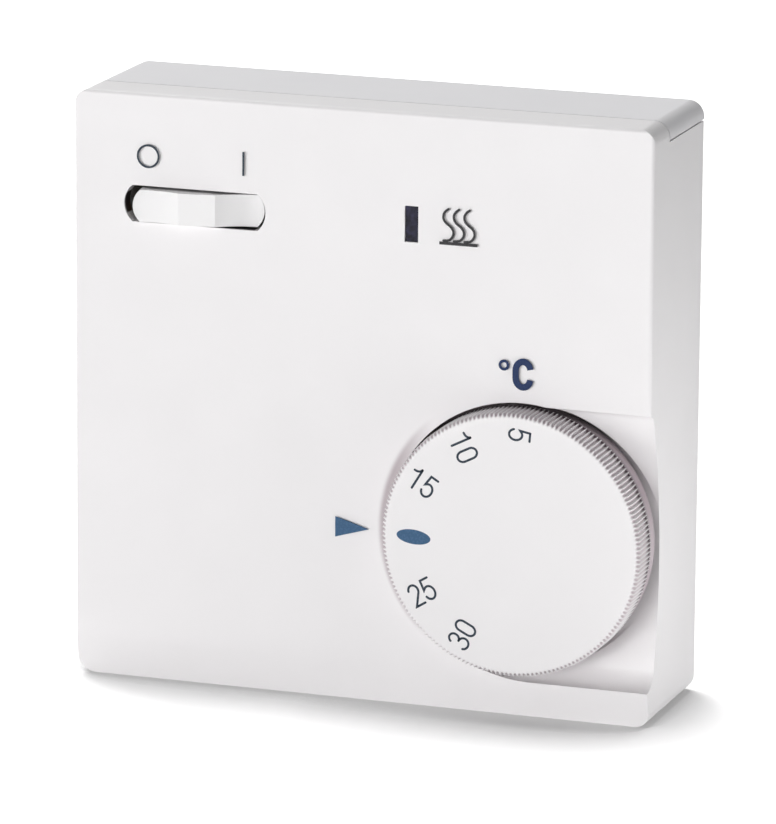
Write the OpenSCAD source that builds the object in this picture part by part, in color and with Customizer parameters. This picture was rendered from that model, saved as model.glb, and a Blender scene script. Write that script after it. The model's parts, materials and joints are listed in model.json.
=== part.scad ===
// Surface-mounted room thermostat: bimetal contact, setting dial, on/off rocker and pilot lamp.
// Frame: +Z up, the front faces -Y, the wall is the plane y = 0, and the origin is the
// centre of the back face. All sizes are in millimetres.

/* [Case] */
// Width of the case along X
case_w = 75; // [74:0.5:80]
// Height of the case along Z
case_h = 75; // [74:0.5:80]
// Depth of the case from the wall to the front face
case_d = 20.7; // [20.2:0.1:22]
// Wall thickness of the front cover
wall_t = 2; // [1.8:0.1:2.2]
// Radius of the case corners seen from the front
corner_r = 2; // [1:0.1:3]
// Radius of the edges round the front face
edge_r = 0.5; // [0.3:0.1:1]
// Height of the stretch above the bottom edge that curves back
chin_h = 7.5; // [5:0.5:8.5]
// Radius of that curved stretch
chin_r = 18; // [14:1:24]
// Depth of the cover's lip along the top
lip_d = 6; // [4:0.5:8]
// Thickness of the base plate
base_t = 2; // [1.8:0.1:2.4]
// Gap between the cover and the base plate
seam_gap = 0.2; // [0.1:0.05:0.3]

/* [Vents] */
// Width of a vent slot
vent_w = 1.6; // [1.2:0.1:2]
// Length of a vent slot from back to front
vent_l = 9; // [6:0.5:10]
// Distance between vent slots
vent_pitch = 4; // [3:0.25:5]
// Number of slots in the bottom wall
vent_n_bottom = 11; // [5:2:13]
// Number of slots in the left wall
vent_n_left = 7; // [3:2:9]

/* [Dial] */
// Diameter of the knob over its grip
knob_d = 33.2; // [32:0.2:34]
// Distance from the knob's centre to the right side of the case
knob_side = 16.5; // [16:0.25:18]
// Distance from the knob's centre to the underside of the case
knob_rise = 23; // [22:0.25:24]
// Height of the knob's face above the front of the case
knob_proud = 4; // [3.5:0.1:5]
// Depth of the round recess that the knob sits in
recess_depth = 5.3; // [5:0.1:5.6]
// Gap round the knob in its recess
recess_gap = 0.4; // [0.3:0.05:0.5]
// Thickness of the recess floor
floor_t = 1.5; // [1.3:0.1:1.7]
// Thickness of the knob's face and of its skirt
knob_wall = 1.6; // [1.2:0.1:2]
// Height of the finger scoop beside the knob
scoop_h = 35; // [34:0.25:36]
// Depth of the finger scoop
scoop_depth = 4.5; // [3.5:0.1:5]
// Diameter of the setting spindle
spindle_d = 6; // [5:0.1:6.2]
// Turn of the dial from rest to its coldest mark, in degrees
turn_cold = 94.5; // [60:0.5:100]
// Turn of the dial from rest to its warmest mark, in degrees
turn_warm = 63; // [30:0.5:70]
// Turn of each range ring from rest, in degrees
ring_turn = 30; // [10:1:30]

/* [Setting cam and lever] */
// Radius of the cam under the follower at rest
cam_r = 7; // [6.6:0.1:7.2]
// Fall of the cam's radius for each degree towards warm
cam_rate = 0.0105; // [0.008:0.0005:0.012]
// Distance from the lever's pivot to the follower
lever_arm = 20; // [19:0.5:20.5]
// Height of the lever's pivot above the spindle
lever_rise = 13; // [12.5:0.25:13.5]
// Depth of the lever and of the cam disc along Y
lever_t = 3; // [2.4:0.1:3.2]
// Gap between the cam and the follower
cam_gap = 0.25; // [0.2:0.05:0.4]

/* [Contacts] */
// Thickness of the bimetal strip
strip_t = 0.6; // [0.4:0.1:0.8]
// Width of the bimetal strip along Y
strip_w = 5.5; // [4.5:0.25:6]
// Distance from the lever's centreline to the strip
strip_rise = 4.5; // [4.3:0.1:5]
// Open gap between the two contacts at rest
contact_gap = 1.3; // [1.2:0.05:1.6]
// Diameter of the contact rivets
contact_d = 2.6; // [2:0.1:3]

/* [Rocker switch] */
// Length of the switch opening
slot_w = 18.6; // [18:0.1:19.4]
// Height of the switch opening
slot_h = 4.6; // [4.2:0.1:5]
// Distance from the opening's centre to the left side of the case
slot_side = 15.9; // [15:0.1:17]
// Distance from the opening's centre to the top of the case
slot_drop = 13.9; // [13:0.1:15]
// Gap round the rocker in its opening
rocker_gap = 0.3; // [0.2:0.05:0.4]
// Tilt of the rocker each side of level, in degrees
rocker_tilt = 9; // [7:0.5:9]
// Depth of the rocker's pivot behind the front face
pivot_depth = 3.5; // [3.4:0.1:3.7]
// Diameter of the rocker's pivot pins
pivot_d = 1.7; // [1.4:0.1:1.8]
// Height of the rocker's ridge above its pivot
ridge_h = 4.9; // [4.6:0.1:5.2]

/* [Pilot lamp] */
// Width of the lamp window
window_w = 1.75; // [1.4:0.05:2.5]
// Height of the lamp window
window_h = 4.5; // [4:0.1:6]
// Distance from the window's centre to the right side of the case
window_side = 30.85; // [29:0.1:32]
// Diameter of the lamp's glass
lamp_d = 5; // [4:0.1:6]

/* [Terminals] */
// Number of terminals
terminal_n = 5; // [4:1:5]
// Distance between terminals
terminal_pitch = 7.4; // [7:0.1:7.5]
// Width of a wire port
port_w = 3.6; // [3:0.1:3.8]
// Diameter of a terminal screw's thread
terminal_screw_d = 2.9; // [2.4:0.1:3]

/* [Wall mounting] */
// Distance from the side of the case to the middle of a fixing slot
screw_inset = 7.5; // [7.5:0.25:9]
// Length of a fixing slot
screw_slot_l = 8; // [6:0.5:9]
// Width of a fixing slot
screw_slot_w = 4.2; // [3.6:0.1:4.6]
// Width of the cable opening
cable_w = 16; // [12:0.5:17]
// Height of the cable opening
cable_h = 11; // [9:0.5:11.5]

/* [Circuit board] */
// Thickness of the circuit board
board_t = 1.6; // [1.2:0.1:1.8]
// Space between the mechanism frame and the circuit board above it
board_gap = 1.5; // [1.2:0.1:2.5]
// Height of the posts under the circuit board
board_stand = 3; // [3:0.1:3.2]

/* [Hidden] */
$fn = 64;

// Cuts run past the surfaces they open by this much
cut = 1;
coil_steps = 12;
// Running clearance of a shaft in its bearing
run_gap = 0.05;
// Clearance between pieces that stand still
fit_gap = 0.1;
// Clearance between moving pieces
move_gap = 0.3;

// Case
front_y = -case_d;
side_x = case_w / 2;
top_z = case_h / 2;
inner_x = side_x - wall_t;
inner_z = top_z - wall_t;
inner_y = front_y + wall_t;
lip_y = front_y + lip_d;
cover_set_back = 0.3;
cover_back_y = -cover_set_back;
chin_z = -top_z + chin_h;
shelf_step = 0.3;
shelf_t = wall_t + shelf_step;
vent_front = 14;

// Knob and recess
knob_x = side_x - knob_side;
knob_z = -top_z + knob_rise;
knob_r = knob_d / 2;
face_y = front_y - knob_proud;
recess_r = knob_r + recess_gap;
floor_y = front_y + recess_depth;
floor_back_y = floor_y + floor_t;
hub_y = floor_y - move_gap;
// Under the skirt the recess is shallower, so that it never cuts below the scoop in the case's side
ledge_rise = 0.5;
ledge_y = front_y + scoop_depth - ledge_rise;
well_r = knob_r - knob_wall;
skirt_y = ledge_y - move_gap;
boss_r = recess_r + floor_t;
spindle_r = spindle_d / 2;
flat_depth = 0.9;
flat_r = spindle_r - flat_depth;
hub_t = 1.6;
hub_r = spindle_r + hub_t;
collar_t = 1.9;
grip_sink = 0.9;
grip_h = knob_proud + grip_sink;
grip_step = 0.25;
knob_rim = 0.5;
spindle_play = 0.9;
spindle_tip_y = face_y + knob_wall + spindle_play;

// Finger scoop: a wide arc along X that ends in a small arc at its top and a larger one at its foot.
// An end arc's middle lies on the wide arc's radius, so that the two arcs run into each other.
scoop_drop = 0.8;
scoop_start = 1.5;
scoop_deep_drop = 2;
scoop_r = 57;
scoop_top_r = 1.6;
scoop_foot_r = 3;
scoop_x = knob_x + scoop_start;
scoop_z = knob_z - scoop_drop;
scoop_deep_z = scoop_z - scoop_deep_drop;
scoop_y = front_y + scoop_depth - scoop_r;
scoop_top_z = scoop_z + scoop_h / 2 - scoop_top_r;
scoop_foot_z = scoop_z - scoop_h / 2 + scoop_foot_r;
scoop_ends = [[scoop_top_z, scoop_top_r], [scoop_foot_z, scoop_foot_r]];

// Range rings on the hub, and the peg that their lugs meet
ring_w = 3;
ring_r = hub_r + ring_w;
ring_t = 1.2;
ring_gap = 0.4;
ring_stand = 2.6;
lug_r = 12.2;
lug_w = 3;
peg_r = 1.2;
peg_orbit = 10.5;
peg_angle = 45;
peg_clear = 18;
ring_warm_y = floor_y - ring_stand - ring_t;
ring_cold_y = ring_warm_y - ring_t - ring_gap;
peg_tip_y = ring_cold_y - ring_gap / 2;
cold_lug_angle = peg_angle - turn_cold - peg_clear - ring_turn;
warm_lug_angle = peg_angle + turn_warm + peg_clear + ring_turn;

// Cover screw, under the knob and below the spindle
cover_screw_drop = 11.8;
cover_screw_z = knob_z - cover_screw_drop;
cover_screw_r = 1.45;
cover_screw_head_r = 2.75;
cover_screw_head_h = 1.8;
insert_r = 2.2;
insert_l = 5;
post_t = 1.1;
post_r = insert_r + post_t;
post_y = floor_back_y + seam_gap;

// Lever and cam, on one level along Y
lever_x = knob_x - lever_arm;
lever_z = knob_z + lever_rise;
lever_stand = 2.4;
lever_y = floor_back_y + lever_stand;
cam_back_y = lever_y + lever_t;
lever_mid_y = lever_y + lever_t / 2;
lever_h = 2.4;
lever_pin_r = 1.25;
pin_head_t = 0.9;
lever_hub_r = 2.6;
lever_reach = 22.5;
lever_left = lever_x - lever_reach;
nose_r = 1;
cam_hub_stand = 1;
cam_hub_y = floor_back_y + cam_hub_stand;
cam_spare_turn = 8;
cam_low_a = 90 - turn_cold - cam_spare_turn;
cam_high_a = 90 + turn_warm + cam_spare_turn;

// Bimetal strip and contacts
strip_z = lever_z + strip_rise;
strip_y = lever_mid_y - strip_w / 2;
strip_left = lever_left;
strip_end = 0.5;
strip_right = knob_x - strip_end;
contact_reach = 15;
contact_x = lever_x - contact_reach;
contact_t = 1;
contact_seat = 0.7;
fixed_top_z = strip_z - contact_t - contact_gap;
magnet_end = 0.5;
magnet_x = lever_left + magnet_end;
magnet_l = 3.6;
magnet_h = 1.2;
magnet_gap = 0.4;
armature_t = 0.8;
magnet_top_z = strip_z - armature_t - contact_gap - magnet_gap;
jaw_l = 3;
jaw_t = 1.15;
jaw_gap = 0.06;

// Terminal block; the ways that the wire and the busbars come from are counted from the left
neutral_way = 0;
line_way = 1;
load_way = 2;
terminal_side = 2;
terminal_end_t = 0.5;
terminal_left = -inner_x + terminal_side;
terminal_w = terminal_n * terminal_pitch + 2 * terminal_end_t;
terminal_stand = 1.5;
terminal_low = -inner_z + terminal_stand;
terminal_h = 12.5;
terminal_top = terminal_low + terminal_h;
terminal_d = 11.5;
terminal_y = -base_t - terminal_d;
clamp_w = 4.8;
clamp_h = 5.4;
clamp_d = 5;
clamp_t = 0.8;
clamp_rise = 2.3;
clamp_depth = 2.6;
clamp_y = terminal_y + clamp_depth;
terminal_z = terminal_low + clamp_rise + clamp_h / 2;
chamber_w = clamp_w + 2 * fit_gap;
chamber_y = clamp_y - fit_gap;
chamber_back_y = clamp_y + clamp_d + fit_gap;
screw_head_r = 1.9;
screw_head_h = 1.6;

// Lever spring under the lever's left arm, on its ledge
spring_reach = 12.2;
spring_x = lever_x - spring_reach;
spring_l = 5.5;
spring_z = lever_z - lever_h / 2 - spring_l;
spring_r = 1.3;
spring_wire = 0.35;
spring_turns = 6;
ledge_w = 4;
ledge_h = 1.8;
ledge_hold = 1.2;

// Busbars from the terminals
busbar_t = 0.5;
busbar_w = 1.8;
busbar_edge = 0.5;
tab_y = clamp_y + clamp_d - clamp_t - fit_gap - busbar_t;
tab_drop = 2;
pin_w = 1;
pin_h = 0.8;
pin_rise = 1.2;

// Mechanism frame: a plate over the base, a leg over the busbars and a block round the spindle
frame_t = 2.4;
frame_y = -base_t - frame_t;
screw_pitch = case_w - 2 * screw_inset;
screw_room = 3;
frame_left = -screw_pitch / 2 + screw_slot_l / 2 + screw_room;
frame_end = 3;
frame_right = strip_right + frame_end;
frame_over = 7.5;
frame_top = strip_z + frame_over;
frame_under = 5.1;
frame_low = lever_z - frame_under;
leg_edge = 1.4;
leg_right = max(terminal_x(load_way) + leg_edge, spring_x + ledge_hold);
leg_low = terminal_top + move_gap;
block_wide = 9.5;
block_end = 10.5;
block_left = knob_x - block_wide;
block_right = knob_x + block_end;
frame_screw_r = 1.2;
frame_screw_head_r = 2.1;
frame_screw_head_h = 1.3;
frame_screw_bite = 1.2;
frame_screw_edge = 2.2;

// Spindle bearing
bush_t = 1.6;
bush_r = spindle_r + bush_t;
flange_w = 1.4;
flange_r = bush_r + flange_w;
flange_t = 0.8;
washer_t = 0.2;
washer_edge = 0.5;
bush_y = cam_back_y + washer_t + 2 * run_gap;
circlip_t = 0.7;
circlip_w = 1.8;
circlip_r = spindle_r + circlip_w;
circlip_stand = 1;
circlip_y = -base_t - circlip_stand - circlip_t;
groove_depth = 0.5;
groove_r = spindle_r - groove_depth;
bush_back_y = circlip_y - move_gap;
tower_t = 1;
tower_r = flange_r + tower_t;
spindle_end_gap = 0.4;
spindle_back_y = -base_t - spindle_end_gap;

// Bracket that clamps the strip, and its two rivets
foot_t = 0.8;
foot_w = 5.5;
foot_left = strip_right - foot_w;
foot_y = frame_y - foot_t;
rivet_rise = 4.3;
rivet_z = strip_z + rivet_rise;
rivet_r = 0.9;
rivet_head_r = 1.5;
rivet_head_h = 0.7;
rivet_edge = 1.6;
rivet_pitch = 3.8;
rivet_xs = [foot_left + rivet_edge, foot_left + rivet_edge + rivet_pitch];

// Calibration screw in its lug on the frame
cal_reach = 9;
cal_x = knob_x - cal_reach;
cal_r = 1.25;
cal_head_r = 2;
cal_head_h = 1.4;
cal_lug_w = 5;
cal_lug_h = 3;
cal_lug_rise = 3;
cal_lug_z = strip_z + cal_lug_rise;

// Feedback resistor over the strip
feedback_l = 10;
feedback_r = 1.3;
feedback_reach = 9;
feedback_rise = 3.2;
feedback_x = lever_x - feedback_reach;
feedback_z = strip_z + strip_t + feedback_rise;

// Rocker switch
slot_x = -side_x + slot_side;
slot_z = top_z - slot_drop;
slot_end_r = 3;
rocker_h = slot_h - 2 * rocker_gap;
rocker_short = 1;
rocker_half = slot_w / 2 - rocker_short;
rocker_drop = 1.2;
pivot_y = front_y + pivot_depth;
pivot_r = pivot_d / 2;
ridge_half = 2.3;
wing_t = 2;
dish_depth = 0.5;
dish_chord = norm([rocker_half - ridge_half, rocker_drop]);
dish_r = (pow(dish_chord / 2, 2) + pow(dish_depth, 2)) / (2 * dish_depth);
dish_slope = atan(rocker_drop / (rocker_half - ridge_half));
hub_disc_r = 2;
housing_gap = 0.2;
housing_y = inner_y + housing_gap;
housing_wall = 2.3;
housing_end = 1.2;
housing_floor = 1.8;
cavity_gap = 0.1;
cavity_half = slot_w / 2 + cavity_gap;
housing_x = cavity_half + housing_end;
housing_z = slot_h / 2 + housing_wall;

// Circuit board
board_back_y = -base_t - board_stand;
board_y = board_back_y - board_t;
board_top_gap = 2.5;
board_side_gap = 2;
board_top = inner_z - board_top_gap;
board_low = frame_top + board_gap;
board_x = inner_x - board_side_gap;
board_screw_r = 1.1;
board_screw_head_r = 2;
board_screw_head_h = 1.4;
board_screw_edge = 2.8;
board_screw_side = 3.5;
board_screw_left = max(feedback_x + feedback_l / 2,
    slot_x + housing_x + board_screw_head_r + 2 * move_gap);
board_screw_right = board_x - board_screw_side;
board_post_r = 2.6;
board_rest_r = 2;
board_rest_x = -board_x + board_rest_r;
hole_edge = 1.5;
hole_z = board_low + hole_edge;
solder_l = 0.5;

// Switch blade on the housing floor, and the plunger that tips it
housing_floor_y = board_y - housing_floor;
blade_half = 7;
blade_t = 0.5;
blade_w = 3;
blade_tilt = rocker_tilt * 2 / 3;
notch_r = 0.5;
blade_y = housing_floor_y - blade_half * sin(blade_tilt) - fit_gap;
tip_y = blade_y - 1.5 * blade_t - move_gap;
plunger_r = 1;
plunger_tip = tip_y - pivot_y;
spring_room = 3.2;
bore_top = -1;
plunger_l = plunger_tip - bore_top - spring_room;
plunger_spring_wire = 0.22;
plunger_spring_turns = 4;
stem_w = 3.6;
stem_l = plunger_tip - 2 * plunger_r - move_gap;
contact_post_x = 6.3;
contact_post_w = 1;
contact_post_h = 2;
contact_open = 0.15;

// Lamp
window_x = side_x - window_side;
window_lift = 0.1;
window_z = slot_z + window_lift;
lens_flange = 1.4;
lens_flange_t = 1;
lens_sink = 0.25;
lamp_y = inner_y + lens_flange_t + move_gap;
lamp_l = 8.6;
lamp_back_y = lamp_y + lamp_l;
lead_r = 0.25;
lamp_lead_dx = 1;

// Series resistor
series_off = 9;
series_x = window_x + series_off;
series_l = 7;
series_r = 1.2;
series_y = board_y - series_r - move_gap;
lead_reach = 1.6;

// Neutral wire, up the left side from the first terminal to the board
wire_r = 0.6;
wire_side = 1.6;
wire_x = min(frame_left, lever_left) - wire_side;
wire_y = clamp_y + clamp_d - clamp_t - wire_r - fit_gap;
wire_lift = 1.2;
wire_turn_z = terminal_top + wire_lift;
wire_back_y = board_back_y + wire_r + fit_gap;

// Cable opening, between the frame's leg and its block
cable_edge = 1;
cable_lift = 2;
cable_r = 1.5;
cable_x = leg_right + cable_edge + cable_w / 2;
cable_z = knob_z + cable_lift;

// Where the board's posts and the frame's screws stand, as x and z
board_posts = [
    for (x = [board_screw_left, board_screw_right],
        z = [board_low + board_screw_edge, board_top - board_screw_edge]) [x, z]
];
frame_screw_places = [
    [(terminal_x(line_way) + terminal_x(load_way)) / 2, leg_low + frame_screw_edge + frame_screw_r],
    [block_right - frame_screw_edge, leg_low + frame_screw_edge],
    [lever_x + lever_hub_r + frame_screw_edge, frame_top - frame_screw_edge]
];

// Where a terminal stands, the cam's radius at an angle, and a point at radius r and angle a
// The middle of a scoop's end arc, and where it runs into the wide arc; e is its z and its radius
function scoop_end_y(e) =
    scoop_y + sqrt(pow(scoop_r - e[1], 2) - pow(e[0] - scoop_deep_z, 2));
function scoop_joint_z(e) =
    scoop_deep_z + (e[0] - scoop_deep_z) * scoop_r / (scoop_r - e[1]);
function terminal_x(i) = terminal_left + terminal_end_t + terminal_pitch * (i + 0.5);
function cam_edge(a) = cam_r - cam_rate * (a - 90);
function polar(r, a) = [r * cos(a), r * sin(a)];

// ---------------------------------------------------------------- helpers

// A drawing in X and Z, made solid from y0 back to y1
module from_front(y0, y1) {
    translate([0, y1, 0])
        rotate([90, 0, 0])
            linear_extrude(height = y1 - y0)
                children();
}

// A drawing in Y and Z, made solid from x0 to x1
module from_side(x0, x1) {
    translate([x0, 0, 0])
        rotate([90, 0, 90])
            linear_extrude(height = x1 - x0)
                children();
}

// A drawing in X and Y, made solid from z0 to z1
module from_top(z0, z1) {
    translate([0, 0, z0])
        linear_extrude(height = z1 - z0)
            children();
}

// A block between two corners
module block(low, high) {
    translate(low)
        cube(high - low);
}

// A round bar along Y, from y0 back to y1, at x and z
module bar_y(x, z, r, y0, y1) {
    translate([x, y1, z])
        rotate([90, 0, 0])
            cylinder(r = r, h = y1 - y0);
}

// A round bar along X, from x0 to x1, at y and z
module bar_x(y, z, r, x0, x1) {
    translate([x0, y, z])
        rotate([0, 90, 0])
            cylinder(r = r, h = x1 - x0);
}

// A round bar along Z, from z0 to z1, at x and y
module bar_z(x, y, r, z0, z1) {
    translate([x, y, z0])
        cylinder(r = r, h = z1 - z0);
}

// A rectangle with round corners, centred
module rounded_rect(w, h, r) {
    square([w - 2 * r, h], center = true);
    square([w, h - 2 * r], center = true);
    for (sx = [-1, 1], sy = [-1, 1])
        translate([sx * (w / 2 - r), sy * (h / 2 - r)])
            circle(r = r);
}

// A slot with round ends, centred, along X
module round_slot(l, w) {
    square([l - w, w], center = true);
    for (s = [-1, 1])
        translate([s * (l - w) / 2, 0])
            circle(r = w / 2);
}

// A slot whose ends bulge gently, centred, along X
module bulged_slot(l, h, end_r) {
    sag = end_r - sqrt(pow(end_r, 2) - pow(h / 2, 2));
    square([l - 2 * sag, h], center = true);
    intersection() {
        square([l, h], center = true);
        for (s = [-1, 1])
            translate([s * (l / 2 - end_r), 0])
                circle(r = end_r);
    }
}

// A round wire through a list of points, with round corners
module wire_path(points, r) {
    for (i = [1 : len(points) - 1]) {
        step = points[i] - points[i - 1];
        translate(points[i - 1])
            rotate([0, acos(step[2] / norm(step)), atan2(step[1], step[0])])
                cylinder(r = r, h = norm(step));
        if (i < len(points) - 1)
            translate(points[i])
                sphere(r = r);
    }
}

// One ring of points across a coil's wire, at angle a along the coil
function coil_ring(r, wire, pitch, a) = [
    for (k = [0 : 5])
        let (rr = r + wire * cos(k * 60))
            [rr * cos(a), rr * sin(a), pitch * a / 360 + wire * sin(k * 60)]
];

// A coil spring along Z from z = 0 to z = l, wound from round wire
module coil(r, wire, l, turns) {
    steps = turns * coil_steps;
    pitch = (l - 2 * wire) / turns;
    points = [
        for (i = [0 : steps])
            for (p = coil_ring(r, wire, pitch, i * 360 / coil_steps))
                p + [0, 0, wire]
    ];
    sides = [
        for (i = [0 : steps - 1], k = [0 : 5])
            let (a = i * 6 + k, b = i * 6 + (k + 1) % 6)
                [a, a + 6, b + 6, b]
    ];
    first = [for (k = [0 : 5]) k];
    last = [for (k = [0 : 5]) steps * 6 + 5 - k];
    polyhedron(points = points, faces = concat([first, last], sides));
}

// ---------------------------------------------------------------- case

// The case's outline from the front
module case_outline() {
    rounded_rect(case_w, case_h, corner_r);
}

// The case's section from the side, with its front at y and the chin's arc of radius r
module case_section(y, z_low, z_high, arc_r) {
    arc_y = front_y + chin_r;
    intersection() {
        union() {
            translate([y, chin_z])
                square([-y, z_high - chin_z]);
            translate([arc_y, z_low])
                square([-arc_y, chin_z - z_low]);
            translate([arc_y, chin_z])
                circle(r = arc_r);
        }
        translate([y, z_low])
            square([-y, z_high - z_low]);
    }
}

// A front edge's rounding, as a drawing with the corner at the origin
module edge_round() {
    difference() {
        translate([-cut, -cut])
            square([edge_r + cut, edge_r + cut]);
        translate([edge_r, edge_r])
            circle(r = edge_r);
    }
}

// The outside of the cover as one solid block
module cover_block() {
    difference() {
        intersection() {
            from_front(front_y - cut, cover_back_y)
                case_outline();
            from_side(-side_x - cut, side_x + cut)
                case_section(front_y, -top_z - cut, top_z + cut, chin_r);
        }
        for (s = [0, 1])
            mirror([s, 0, 0])
                from_top(-top_z - cut, top_z + cut)
                    translate([-side_x, front_y])
                        edge_round();
        from_side(-side_x - cut, side_x + cut)
            translate([front_y, top_z])
                mirror([0, 1])
                    edge_round();
    }
}

// The hollow inside the cover
module cover_hollow() {
    difference() {
        from_side(-inner_x, inner_x)
            case_section(inner_y, -inner_z, inner_z, chin_r - wall_t);
        bar_y(knob_x, knob_z, boss_r, inner_y - cut, floor_back_y);
        intersection() {
            block([scoop_x - floor_t, inner_y - cut, -top_z], [side_x, cut, top_z]);
            bar_x(scoop_y, scoop_deep_z, scoop_r + floor_t, scoop_x - floor_t, side_x + cut);
        }
    }
}

// The finger scoop's outline in the case's side, as a drawing of y and z
module scoop_profile() {
    low_z = scoop_joint_z(scoop_ends[1]);
    high_z = scoop_joint_z(scoop_ends[0]);
    intersection() {
        translate([scoop_y, scoop_deep_z])
            circle(r = scoop_r);
        translate([front_y - cut, low_z])
            square([case_d, high_z - low_z]);
    }
    for (e = scoop_ends) {
        translate([scoop_end_y(e), e[0]])
            circle(r = e[1]);
        translate([front_y - cut, min(e[0], scoop_z) - (e[0] < scoop_z ? e[1] : 0)])
            square([scoop_end_y(e) - front_y + cut, abs(e[0] - scoop_z) + e[1]]);
    }
}

// The recess round the knob and the finger scoop beside it
module knob_recess() {
    bar_y(knob_x, knob_z, recess_r, front_y - cut, ledge_y);
    bar_y(knob_x, knob_z, well_r, ledge_y - cut, floor_y);
    intersection() {
        from_side(knob_x - scoop_h / 2, side_x + cut)
            scoop_profile();
        union() {
            bar_y(scoop_x, scoop_z, scoop_h / 2, front_y - 2 * cut, floor_y);
            block([scoop_x, front_y - 2 * cut, scoop_z - scoop_h / 2],
                [side_x + 2 * cut, floor_y, scoop_z + scoop_h / 2]);
        }
    }
}

// The row of vents in the bottom wall and the row in the left wall
module vents() {
    vent_y = -vent_front;
    for (i = [0 : vent_n_bottom - 1])
        translate([(i - (vent_n_bottom - 1) / 2) * vent_pitch, vent_y + vent_l / 2, 0])
            from_top(-top_z - cut, -inner_z + cut)
                rotate(90)
                    round_slot(vent_l, vent_w);
    for (i = [0 : vent_n_left - 1])
        translate([0, vent_y + vent_l / 2, (i - (vent_n_left - 1) / 2) * vent_pitch])
            from_side(-side_x - cut, -inner_x + cut)
                round_slot(vent_l, vent_w);
}

module front_cover() {
    color("whitesmoke")
        difference() {
            union() {
                difference() {
                    cover_block();
                    cover_hollow();
                }
                bar_y(knob_x + peg_orbit * cos(peg_angle), knob_z + peg_orbit * sin(peg_angle),
                    peg_r, peg_tip_y, floor_back_y);
            }
            // All of the recess but the stop peg
            difference() {
                knob_recess();
                bar_y(knob_x + peg_orbit * cos(peg_angle), knob_z + peg_orbit * sin(peg_angle),
                    peg_r, peg_tip_y, floor_back_y);
            }
            // The base plate's top shelf takes the cover's place behind the lip
            block([-side_x - cut, lip_y, top_z - shelf_t - seam_gap],
                [side_x + cut, cut, top_z + cut]);
            bar_y(knob_x, knob_z, spindle_r + move_gap, floor_y - cut, floor_back_y + cut);
            bar_y(knob_x, cover_screw_z, cover_screw_r + fit_gap, floor_y - cut,
                floor_back_y + cut);
            from_front(front_y - cut, inner_y + cut)
                translate([slot_x, slot_z])
                    bulged_slot(slot_w, slot_h, slot_end_r);
            from_front(front_y - cut, inner_y + cut)
                translate([window_x, window_z])
                    square([window_w, window_h], center = true);
            vents();
        }
}

// The base plate's outline: inside the cover's walls, and the full width along the top
module base_outline() {
    plate_x = inner_x - seam_gap;
    translate([-plate_x, -inner_z + seam_gap])
        square([2 * plate_x, inner_z + top_z - shelf_t - seam_gap]);
    shelf_outline();
}

// The strip of the case's outline that the base plate's top shelf fills
module shelf_outline() {
    intersection() {
        case_outline();
        translate([-side_x, top_z - shelf_t])
            square([case_w, shelf_t]);
    }
}

module base_plate() {
    tongue_end = 5;
    tongue_t = 1.3;
    tongue_l = 2.8;
    tongue_x = inner_x - tongue_end;
    tongue_y = lip_y - tongue_l;
    pocket_depth = 0.7;
    pocket_w = 24;
    pocket_h = 14;
    pocket_x = pocket_w / 2 + board_screw_edge + wall_t + fit_gap;
    pocket_z = inner_z - pocket_h / 2 - board_screw_edge;
    color("white")
        difference() {
            union() {
                from_front(-base_t, 0)
                    base_outline();
                from_front(lip_y + seam_gap, 0)
                    shelf_outline();
                block([-tongue_x, tongue_y, inner_z - seam_gap - tongue_t],
                    [tongue_x, 0, inner_z - seam_gap]);
                for (p = board_posts)
                    bar_y(p[0], p[1], board_post_r, board_back_y, 0);
                // A rest without a screw carries the board's left end
                bar_y(board_rest_x, slot_z, board_rest_r, board_back_y, 0);
                bar_y(knob_x, cover_screw_z, post_r, post_y, 0);
            }
            for (s = [-1, 1])
                from_front(-base_t - cut, cut)
                    translate([s * screw_pitch / 2, 0])
                        round_slot(screw_slot_l, screw_slot_w);
            from_front(-base_t - cut, cut)
                translate([cable_x, cable_z])
                    rounded_rect(cable_w, cable_h, cable_r);
            bar_y(knob_x, cover_screw_z, insert_r, post_y - cut, post_y + insert_l);
            bar_y(knob_x, cover_screw_z, cover_screw_r + fit_gap, post_y - cut,
                post_y + insert_l + insert_r);
            for (p = board_posts)
                bar_y(p[0], p[1], board_screw_r, board_back_y - cut, -base_t / 2);
            for (p = frame_screw_places)
                bar_y(p[0], p[1], frame_screw_r, -base_t - cut, -base_t + frame_screw_bite);
            // Shallow pockets in the back leave a flat rim and a cross of ribs
            for (sx = [-1, 1], sz = [-1, 1])
                translate([sx * pocket_x, 0, sz * pocket_z])
                    block([-pocket_w / 2, -pocket_depth, -pocket_h / 2],
                        [pocket_w / 2, cut, pocket_h / 2]);
        }
}

module cover_screw() {
    color("silver")
        difference() {
            union() {
                bar_y(knob_x, cover_screw_z, cover_screw_head_r, floor_y - cover_screw_head_h,
                    floor_y);
                bar_y(knob_x, cover_screw_z, cover_screw_r, floor_y,
                    post_y + insert_l + cover_screw_r);
            }
            screw_cross(knob_x, cover_screw_z, floor_y - cover_screw_head_h,
                cover_screw_head_r);
        }
}

// A cross slot cut into a screw head of radius r at y
module screw_cross(x, z, y, r) {
    l = r * 1.1;
    w = r * 0.22;
    for (a = [0, 90])
        translate([x, y, z])
            rotate([0, a, 0])
                block([-l / 2, -cut, -w / 2], [l / 2, w, w / 2]);
}

module cover_screw_insert() {
    color("goldenrod")
        difference() {
            bar_y(knob_x, cover_screw_z, insert_r, post_y, post_y + insert_l);
            bar_y(knob_x, cover_screw_z, cover_screw_r, post_y - cut, post_y + insert_l + cut);
        }
}

// ---------------------------------------------------------------- dial

// A disc of radius r with a flat across it, as the spindle and its bore have
module flatted(r, flat) {
    intersection() {
        circle(r = r);
        translate([-r, -r])
            square([2 * r, r + flat]);
    }
}

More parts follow.
